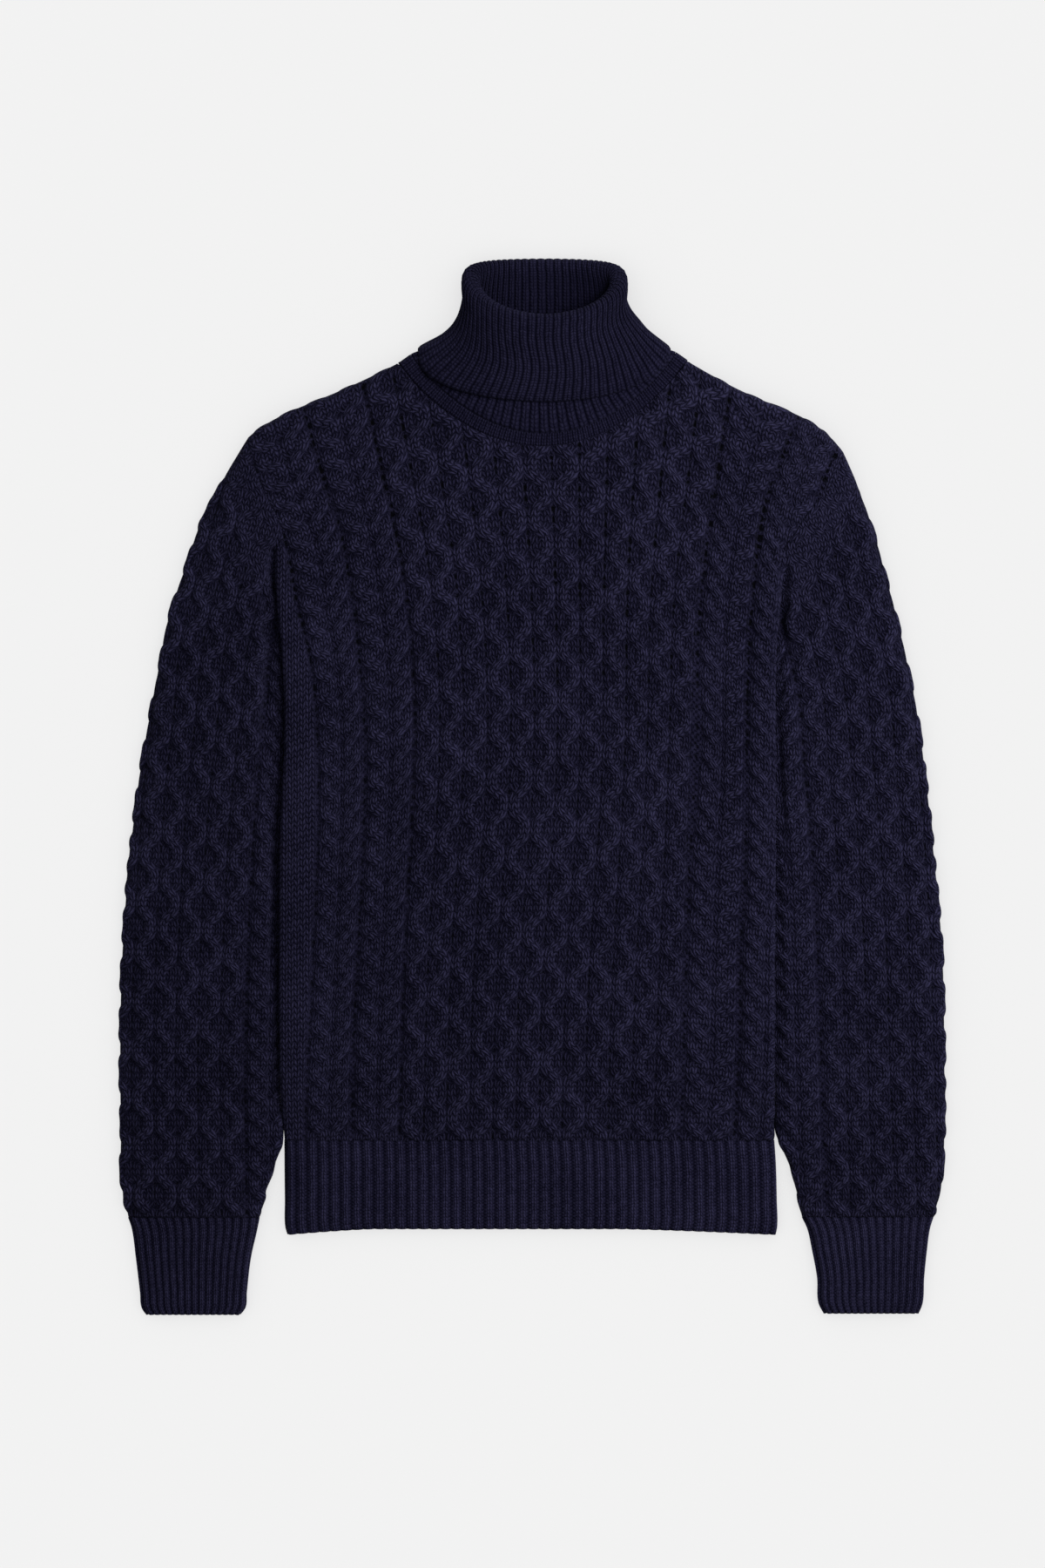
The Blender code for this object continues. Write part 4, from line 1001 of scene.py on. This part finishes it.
def seam_ring(angles):
    """Ring along the neckline, just clear of the panels."""
    seam = neck_ring(SEAM_RING, angles, 1.0)
    front, back = (neckline_y(seam[:, 0], neck) for neck in (FRONT_NECK, BACK_NECK))
    clear = NECK_CLEAR + 0.30 * RIB_WALL * np.cos(angles) ** 2
    seam[:, 1] = np.where(np.sin(angles) > 0.0, front, back) + clear
    return seam


def fold_rings(angles, steps):
    """Rings over the fold at the collar's top."""
    cosine, sine = np.cos(angles), np.sin(angles)
    core = neck_ring(FOLD_RING, angles)
    end = np.where(sine > 0.0, FOLD_RADIUS_FRONT, FOLD_RADIUS_BACK)
    radius = FOLD_RADIUS_SIDE + (end - FOLD_RADIUS_SIDE) * np.abs(sine)
    outward = np.column_stack([cosine, np.zeros_like(cosine), sine])
    upward = np.array([0.0, 1.0, 0.0])
    turns = np.pi * np.linspace(0.0, 1.0, steps)
    return [core + radius[:, None] * (-np.cos(turn) * outward + np.sin(turn) * upward) for turn in turns]


def spread_ribs(ring, columns):
    """Points round a ring at even rib numbers: ribs are packed at the sides where it is short."""
    half = len(ring) // 2
    found = []
    for part in (ring[:half + 1], np.concatenate([ring[half:], ring[:1]])):
        length = travelled(part)
        share = min(1.0, length[-1] / (0.5 * COLLAR_KNIT.ribs * COLLAR_RIB))
        place = np.linspace(-1.0, 1.0, 201)
        number = share * place + (1.0 - share) * place ** 3
        at = np.interp(np.linspace(-1.0, 1.0, columns // 2, endpoint=False), number, place)
        at = 0.5 * (at + 1.0) * length[-1]
        found.append(np.column_stack([np.interp(at, length, axis) for axis in part.T]))
    return np.concatenate(found)


def sweep(rings, step):
    """Rings joined by smooth lines, at even steps of their mean distance."""
    rings = np.stack(rings)
    knots = np.concatenate([[0.0], np.cumsum(np.linalg.norm(np.diff(rings, axis=0), axis=2).mean(axis=1))])
    at = np.linspace(0.0, knots[-1], spans(knots[-1], step, 2) + 1)
    found = through(knots, rings.reshape(len(rings), -1), at)
    return found.reshape(len(at), -1, 3).transpose(1, 0, 2), at


def make_collar(name, rings, rib, material):
    """A ribbed collar piece round the middle surface through its rings, fine on both sides.

    The last edge is thinner by the rib's hem share, and the inside carries painted shade down in the neck,
    darkest towards the right.
    """
    columns = rib.ribs * rib.quads
    surface, travel = sweep([spread_ribs(ring, columns) for ring in rings], rib.step)
    count = len(travel)
    normals, flip = tube_normals(surface, 1, np.array([0.0, -1.0, 1.0]))
    number = np.repeat(np.arange(columns)[:, None] / rib.quads, count, axis=1)
    wave, back_wave = rib_wave(number), rib_wave(number + 0.5)
    left = travel[-1] - travel
    end = smooth_step(travel / 3.0 + 0.3) * smooth_step(left / 2.5 + 0.3)
    soft = rib.relief * end * (1.0 - 0.55 * np.abs(normals[..., 1]))
    wall = RIB_WALL * (0.5 - rib.hem * smooth_step(1.0 - left / 3.0))
    outer = above_floor(surface + (wall + wave * soft)[..., None] * normals)
    inner = above_floor(surface - (wall + back_wave * soft)[..., None] * normals)
    # painted shade inside the neck: the inner sheet is darkened, most towards the right, until it turns out
    # of the neck
    across = (surface[..., 0] - MOUTH_LIT) / (MOUTH_DARK - MOUTH_LIT)
    depth = MOUTH_SHADE + (MOUTH_DARKEST_SHADE - MOUTH_SHADE) * smooth_step(across)
    out_of_neck = smooth_step((travel - MOUTH_TRAVEL) / MOUTH_RUN)
    # painted shade in the valleys between ribs, the whole scaled by the collar's tone
    shade = COLLAR_TONE * (0.5 + 0.5 * wave)
    inner_shade = COLLAR_TONE * (0.5 + 0.5 * back_wave) * (depth + (1.0 - depth) * out_of_neck)
    rows = np.repeat(travel[None], columns, axis=0) / COLLAR_ROW
    quads = grid_faces(columns, count, True)
    corners, inner_corners = rib_corners(quads, number, rows), rib_corners(quads, number + 0.5, rows)
    nothing = np.zeros_like(shade)
    return shell(name, outer, inner, True, flip, corners, shade, nothing, nothing, 1, material,
                 inner_corners, inner_shade)


# ---------------------------------------------------------------- wool
class Value:
    """An output in a shader; sums and products of numbers among them become math nodes."""

    def __init__(self, nodes, socket):
        self.nodes = nodes
        self.socket = socket

    def __add__(self, other):
        return self.nodes.math("ADD", self, other)

    def __sub__(self, other):
        return self.nodes.math("SUBTRACT", self, other)

    def __rsub__(self, other):
        return self.nodes.math("SUBTRACT", other, self)

    def __mul__(self, other):
        return self.nodes.math("MULTIPLY", self, other)

    def __rmul__(self, other):
        return self.nodes.math("MULTIPLY", other, self)


class Nodes:
    """Short calls for the nodes of one material."""

    def __init__(self, material):
        material.use_nodes = True
        self.tree = material.node_tree
        self.tree.nodes.clear()

    def add(self, kind, inputs=(), output=0, **settings):
        """One output of a new node, whose inputs are given in order or by name."""
        node = self.tree.nodes.new(kind)
        for key, setting in settings.items():
            setattr(node, key, setting)
        for key, value in inputs.items() if isinstance(inputs, dict) else enumerate(inputs):
            if isinstance(value, Value):
                self.tree.links.new(value.socket, node.inputs[key])
            else:
                node.inputs[key].default_value = value
        return Value(self, node.outputs[output]) if node.outputs else None

    def math(self, operation, *values):
        return self.add("ShaderNodeMath", values, operation=operation)

    def fraction(self, value):
        return self.math("FRACT", value)

    def floor(self, value):
        return self.math("FLOOR", value)

    def size(self, value):
        return self.math("ABSOLUTE", value)

    def between(self, value, low, high):
        return self.math("MINIMUM", self.math("MAXIMUM", value, low), high)

    def parts(self, kind, value, count):
        return [self.add(kind, [value], k) for k in range(count)]

    def attribute(self, name):
        return self.add("ShaderNodeAttribute", output="Fac", attribute_name=name)

    def noise(self, scale, detail, output="Fac"):
        place = self.add("ShaderNodeNewGeometry", output="Position")
        inputs = {"Vector": place, "Scale": scale, "Detail": detail}
        return self.add("ShaderNodeTexNoise", inputs, output)


def around_zero(value, reach):
    """A value from 0 to 1 as one that strays evenly to both sides of zero."""
    return (value - 0.5) * reach


def blend(share, a, b):
    """From a to b by a share."""
    return (b - a) * share + a


def ridge(value, scale):
    """1 where the scaled value is 1, falling to 0 where it is 0 or 2."""
    centred = value * scale - 1.0
    return 1.0 - centred * centred


# linear colours for painted shade in the crevices and painted highlight on the crowns, and strengths, of each
# look
WoolLook = namedtuple("WoolLook", "deep bright crevice leg split rows stitch_bump fuzz")
NAVY_SHADED = (0.0024, 0.0021, 0.0090, 1.0)
NAVY_LIT = (0.0328, 0.0306, 0.0736, 1.0)
CABLE_LOOK = WoolLook(
    NAVY_SHADED, NAVY_LIT, crevice=0.18, leg=1.15, split=0.80, rows=1.0, stitch_bump=0.0020, fuzz=0.45)
RIB_LOOK = WoolLook(
    NAVY_SHADED, NAVY_LIT, crevice=0.10, leg=0.7, split=0.90, rows=0.60, stitch_bump=0.0010, fuzz=0.40)
WARP = 0.34                  # how far stitches wander from their places, in stitches
PURL_HEIGHT = 0.8            # height of a purl stitch, for a knit stitch of 1
HEIGHT_PAINTED_LIGHT, LEAST_TONE, MOST_TONE = 0.80, 0.02, 1.4     # how much painted highlight a stitch's height gives the tone, and the tone's ends
STITCH_TONE, FIBRE_TONE, BROAD_TONE = 0.34, 1.5, 0.5     # how much the tone varies with each
HOLE_ROWS, HOLE_WARP = 0.60, 0.9     # holes of a ladder for each row, and how far they wander
HOLE_SHARP, HOLE_GAIN = 4.5, 1.8     # how sharply a hole ends along its ladder, and its strength,
HOLE_NARROW = 0.55           # lost by this much for each millimetre from the ladder's line
HOLE_PAINTED_SHADE, HOLE_DEEP = 0.95, 1.2     # how dark holes are painted, as shade, and how deep they are
PATCH_FROM, PATCH_GAIN, PATCH_LEAST = 0.38, 5.0, 0.15    # where holes open, how suddenly, and their least
WANDER_NOISE = (170.0, 2.0)  # scale and detail of the noise that moves the stitches,
PATCH_NOISE = (90.0, 1.0)    # of the patches of open holes,
FIBRE_NOISE = (1100.0, 4.0)  # of the fibres,
BROAD_NOISE = (16.0, 2.0)    # and of the broad changes in tone
FINISH = {
    "Roughness": 0.92,
    "Specular IOR Level": 0.05,
    "Sheen Weight": 0.035,
    "Sheen Roughness": 0.45,
    "Sheen Tint": (0.40, 0.40, 0.85, 1.0),
}


def wool(name, look):
    """Navy wool: knit stitches from the stitch map, painted shade in crevices and holes, painted highlight on
    stitch crowns, and fine fuzz.
    """
    material = bpy.data.materials.new(name)
    n = Nodes(material)
    wander_s, wander_row, wander_dot = n.parts("ShaderNodeSeparateColor", n.noise(*WANDER_NOISE, "Color"), 3)
    s, rows = n.parts("ShaderNodeSeparateXYZ", n.add("ShaderNodeUVMap", uv_map="stitch"), 2)
    away, ladder_rows = n.parts("ShaderNodeSeparateXYZ", n.add("ShaderNodeUVMap", uv_map="ladder"), 2)
    shade, purl, bare = (n.attribute(label) for label in ("shade", "purl", "bare"))

    # a V of two legs in every stitch
    s = s + around_zero(wander_s, WARP)
    rows = rows + around_zero(wander_row, 2.0 * WARP)
    side = n.size(n.fraction(s) - 0.5)
    climb = rows - side * look.leg
    along = blend(look.rows, 1.0, ridge(n.fraction(climb), 2.0))
    knit_height = along * blend(look.split, 1.0, ridge(side, 4.0))

    # a purl stitch is one low bar, set half a row up in every second column
    half_column = n.floor(s * 2.0)
    bar = ridge(n.fraction(rows + half_column * 0.5), 2.0)
    height = blend(purl, knit_height, bar * PURL_HEIGHT)

    # holes along the ladders between columns, open in patches, with painted shade in them
    reach = n.math("MAXIMUM", 1.0 - n.size(away) * HOLE_NARROW, 0.0)
    dot = n.size(n.fraction(ladder_rows * HOLE_ROWS + around_zero(wander_dot, HOLE_WARP)) - 0.5)
    hole = (reach * HOLE_GAIN) * (n.between(dot * HOLE_SHARP - 0.5, 0.0, 1.0) * bare)
    patchy = n.between((n.noise(*PATCH_NOISE) - PATCH_FROM) * PATCH_GAIN, PATCH_LEAST, 1.0)
    hole = n.math("MINIMUM", hole * patchy, 1.0)

    # each stitch has its own tone, and the fibres their own
    cell = n.add("ShaderNodeCombineXYZ", [half_column, n.floor(climb)])
    own = n.add("ShaderNodeTexWhiteNoise", [cell], "Value", noise_dimensions="2D")
    fibre, broad = n.noise(*FIBRE_NOISE), n.noise(*BROAD_NOISE)
    # painted highlight and shade: the higher parts of a stitch get more of the lit navy, the lower parts more
    # of the shaded navy
    level = height * HEIGHT_PAINTED_LIGHT + LEAST_TONE
    for value, share in ((own, STITCH_TONE), (fibre, FIBRE_TONE), (broad, BROAD_TONE)):
        level = level + around_zero(value, share)
    # painted shade: the shade attribute darkens crevices, rib valleys and the inside of the neck, down to the
    # look's crevice share
    level = n.between(level * blend(shade, look.crevice, 1.0), 0.0, MOST_TONE)
    factor, colour_a, colour_b, mixed = 0, 6, 7, 2       # places of the mix node's sockets for colours
    colour = n.add("ShaderNodeMix", {factor: level, colour_a: look.deep, colour_b: look.bright}, mixed,
                   data_type="RGBA", clamp_factor=False)
    colour = n.add("ShaderNodeVectorMath", {0: colour, "Scale": 1.0 - hole * HOLE_PAINTED_SHADE}, operation="SCALE")

    relief_height = height + fibre * look.fuzz - hole * HOLE_DEEP
    bump = n.add("ShaderNodeBump", {"Strength": 1.0, "Distance": look.stitch_bump, "Height": relief_height})
    shader = n.add("ShaderNodeBsdfPrincipled", {"Base Color": colour, "Normal": bump, **FINISH})
    n.add("ShaderNodeOutputMaterial", {"Surface": shader})
    return material


# ---------------------------------------------------------------- studio
FRAME_CENTRE = Vector((-0.0073, 0.0023, 0.0))
FRAME_HEIGHT = 1.188
CAMERA_HEIGHT = 2.5
CAMERA_LEVEL = 0.005         # the photo's scale holds at this height
SENSOR = 36.0
FLOOR_SIZE = 8.0
FLOOR_FINISH = {
    "Base Color": (0.86, 0.86, 0.86, 1.0),
    "Roughness": 0.9,
    "Specular IOR Level": 0.1,
}
SKY_STRENGTH = 0.30
KEY_POWER = 23.1             # watts
KEY_PLACE = (0.92, 0.49, 1.08)       # up and to the right
KEY_SIZE = 1.1
FLOOR_LIGHT = 2.305          # an even light for the floor alone


def make_light(name, kind, power, receivers):
    """A light that falls on one new collection only."""
    lamp = bpy.data.lights.new(name, kind)
    lamp.energy = power
    light = add_object(name, lamp)
    light.light_linking.receiver_collection = bpy.data.collections.new(receivers)
    return light


def make_studio():
    """Pale floor, soft light mainly from the right and above, and the camera."""
    scene = bpy.context.scene
    bpy.ops.mesh.primitive_plane_add(size=FLOOR_SIZE, location=(0.0, 0.0, 0.0))
    floor = bpy.context.object
    floor.name = "floor"
    paper = bpy.data.materials.new("pale_floor")
    n = Nodes(paper)
    shader = n.add("ShaderNodeBsdfPrincipled", FLOOR_FINISH)
    n.add("ShaderNodeOutputMaterial", {"Surface": shader})
    floor.data.materials.append(paper)

    scene.world = bpy.data.worlds.new("studio")
    scene.world.use_nodes = True
    sky = scene.world.node_tree.nodes["Background"]
    sky.inputs["Color"].default_value = (1.0, 1.0, 1.0, 1.0)
    sky.inputs["Strength"].default_value = SKY_STRENGTH

    key = make_light("key", "AREA", KEY_POWER, "sweater_light")
    key.data.shape = "DISK"
    key.data.size = KEY_SIZE
    key.location = KEY_PLACE
    key.rotation_mode = "QUATERNION"
    key.rotation_quaternion = Vector(KEY_PLACE).to_track_quat("Z", "Y")
    wash = make_light("floor_light", "SUN", FLOOR_LIGHT, "floor_light")
    wash.data.use_shadow = False
    wash.data.cycles.cast_shadow = False
    wash.light_linking.receiver_collection.objects.link(floor)

    lens = bpy.data.cameras.new("camera")
    lens.sensor_width = SENSOR
    lens.lens = SENSOR * (CAMERA_HEIGHT - CAMERA_LEVEL) / FRAME_HEIGHT
    lens.clip_end = 20.0
    scene.camera = add_object("camera", lens)
    scene.camera.location = FRAME_CENTRE + Vector((0.0, 0.0, CAMERA_HEIGHT))
    scene.view_settings.view_transform = "Standard"
    return key.light_linking.receiver_collection


# ---------------------------------------------------------------- all of it
# flat size and cut of each piece, in metres and square metres, and what it lies on
Cut = namedtuple("Cut", "node slot width length area held rests_on")
CUTS = {
    "front_cables": Cut("front_panel", "cable_wool", 0.450, 0.600, 0.2184, "laid", ["back_cables"]),
    "back_cables": Cut("back_panel", "cable_wool", 0.450, 0.600, 0.2269, "laid", ["floor"]),
    "left_sleeve_cables": Cut("sleeve_left", "cable_wool", 0.270, 0.600, 0.1214, "laid", ["floor"]),
    "right_sleeve_cables": Cut("sleeve_right", "cable_wool", 0.275, 0.600, 0.1255, "laid", ["floor"]),
    "left_cuff_rib": Cut("cuff_left", "rib_wool", 0.190, 0.074, 0.0129, "laid", ["floor"]),
    "right_cuff_rib": Cut("cuff_right", "rib_wool", 0.190, 0.073, 0.0127, "laid", ["floor"]),
    "hem_ribbing": Cut("hem_rib", "rib_wool", 0.768, 0.070, 0.0530, "laid", ["floor"]),
    "neck_linking": Cut("neck_band", "rib_wool", 0.470, 0.012, 0.0040, "laid", ["back_cables"]),
    "collar_ribbing": Cut("roll_collar", "rib_wool", 0.410, 0.130, 0.0468, "folded", ["neck_linking"]),
}


def make_sweater():
    """Every knitted piece."""
    cables, ribs = wool("cable_wool", CABLE_LOOK), wool("rib_wool", RIB_LOOK)
    angles = np.linspace(0.0, 2.0 * np.pi, RING_POINTS, endpoint=False)
    band_top = neck_ring(BAND_TOP, angles, BAND_ROUNDNESS)
    stand, turn = ([neck_ring(ring, angles) for ring in rings] for rings in (STAND_RINGS, TURN_RINGS))
    upward = stand[0] - band_top
    start = band_top + NECK_CLEAR * upward / np.linalg.norm(upward, axis=1)[:, None]
    collar = [start] + stand + fold_rings(angles, FOLD_STEPS) + turn
    return [
        make_panel("front_cables", True, cables),
        make_panel("back_cables", False, cables),
        *(make_sleeve(side + "_sleeve_cables", side, cables) for side in BOTH),
        *(make_tube(side + "_cuff_rib", CUFFS[side], CUFF_RIB, CUFF_TONE, 0.0, ribs) for side in BOTH),
        make_tube("hem_ribbing", HEM, HEM_RIB, HEM_TONE, HEM_SAG, ribs),
        make_collar("neck_linking", [seam_ring(angles), band_top], LINKING_KNIT, ribs),
        make_collar("collar_ribbing", collar, COLLAR_KNIT, ribs),
    ]


lit = make_studio()
pieces = make_sweater()
for piece in pieces:
    cut = CUTS[piece.name]
    lit.objects.link(piece)
    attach(piece, "root")
    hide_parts(cut.node)
for piece in pieces:
    cut = CUTS[piece.name]
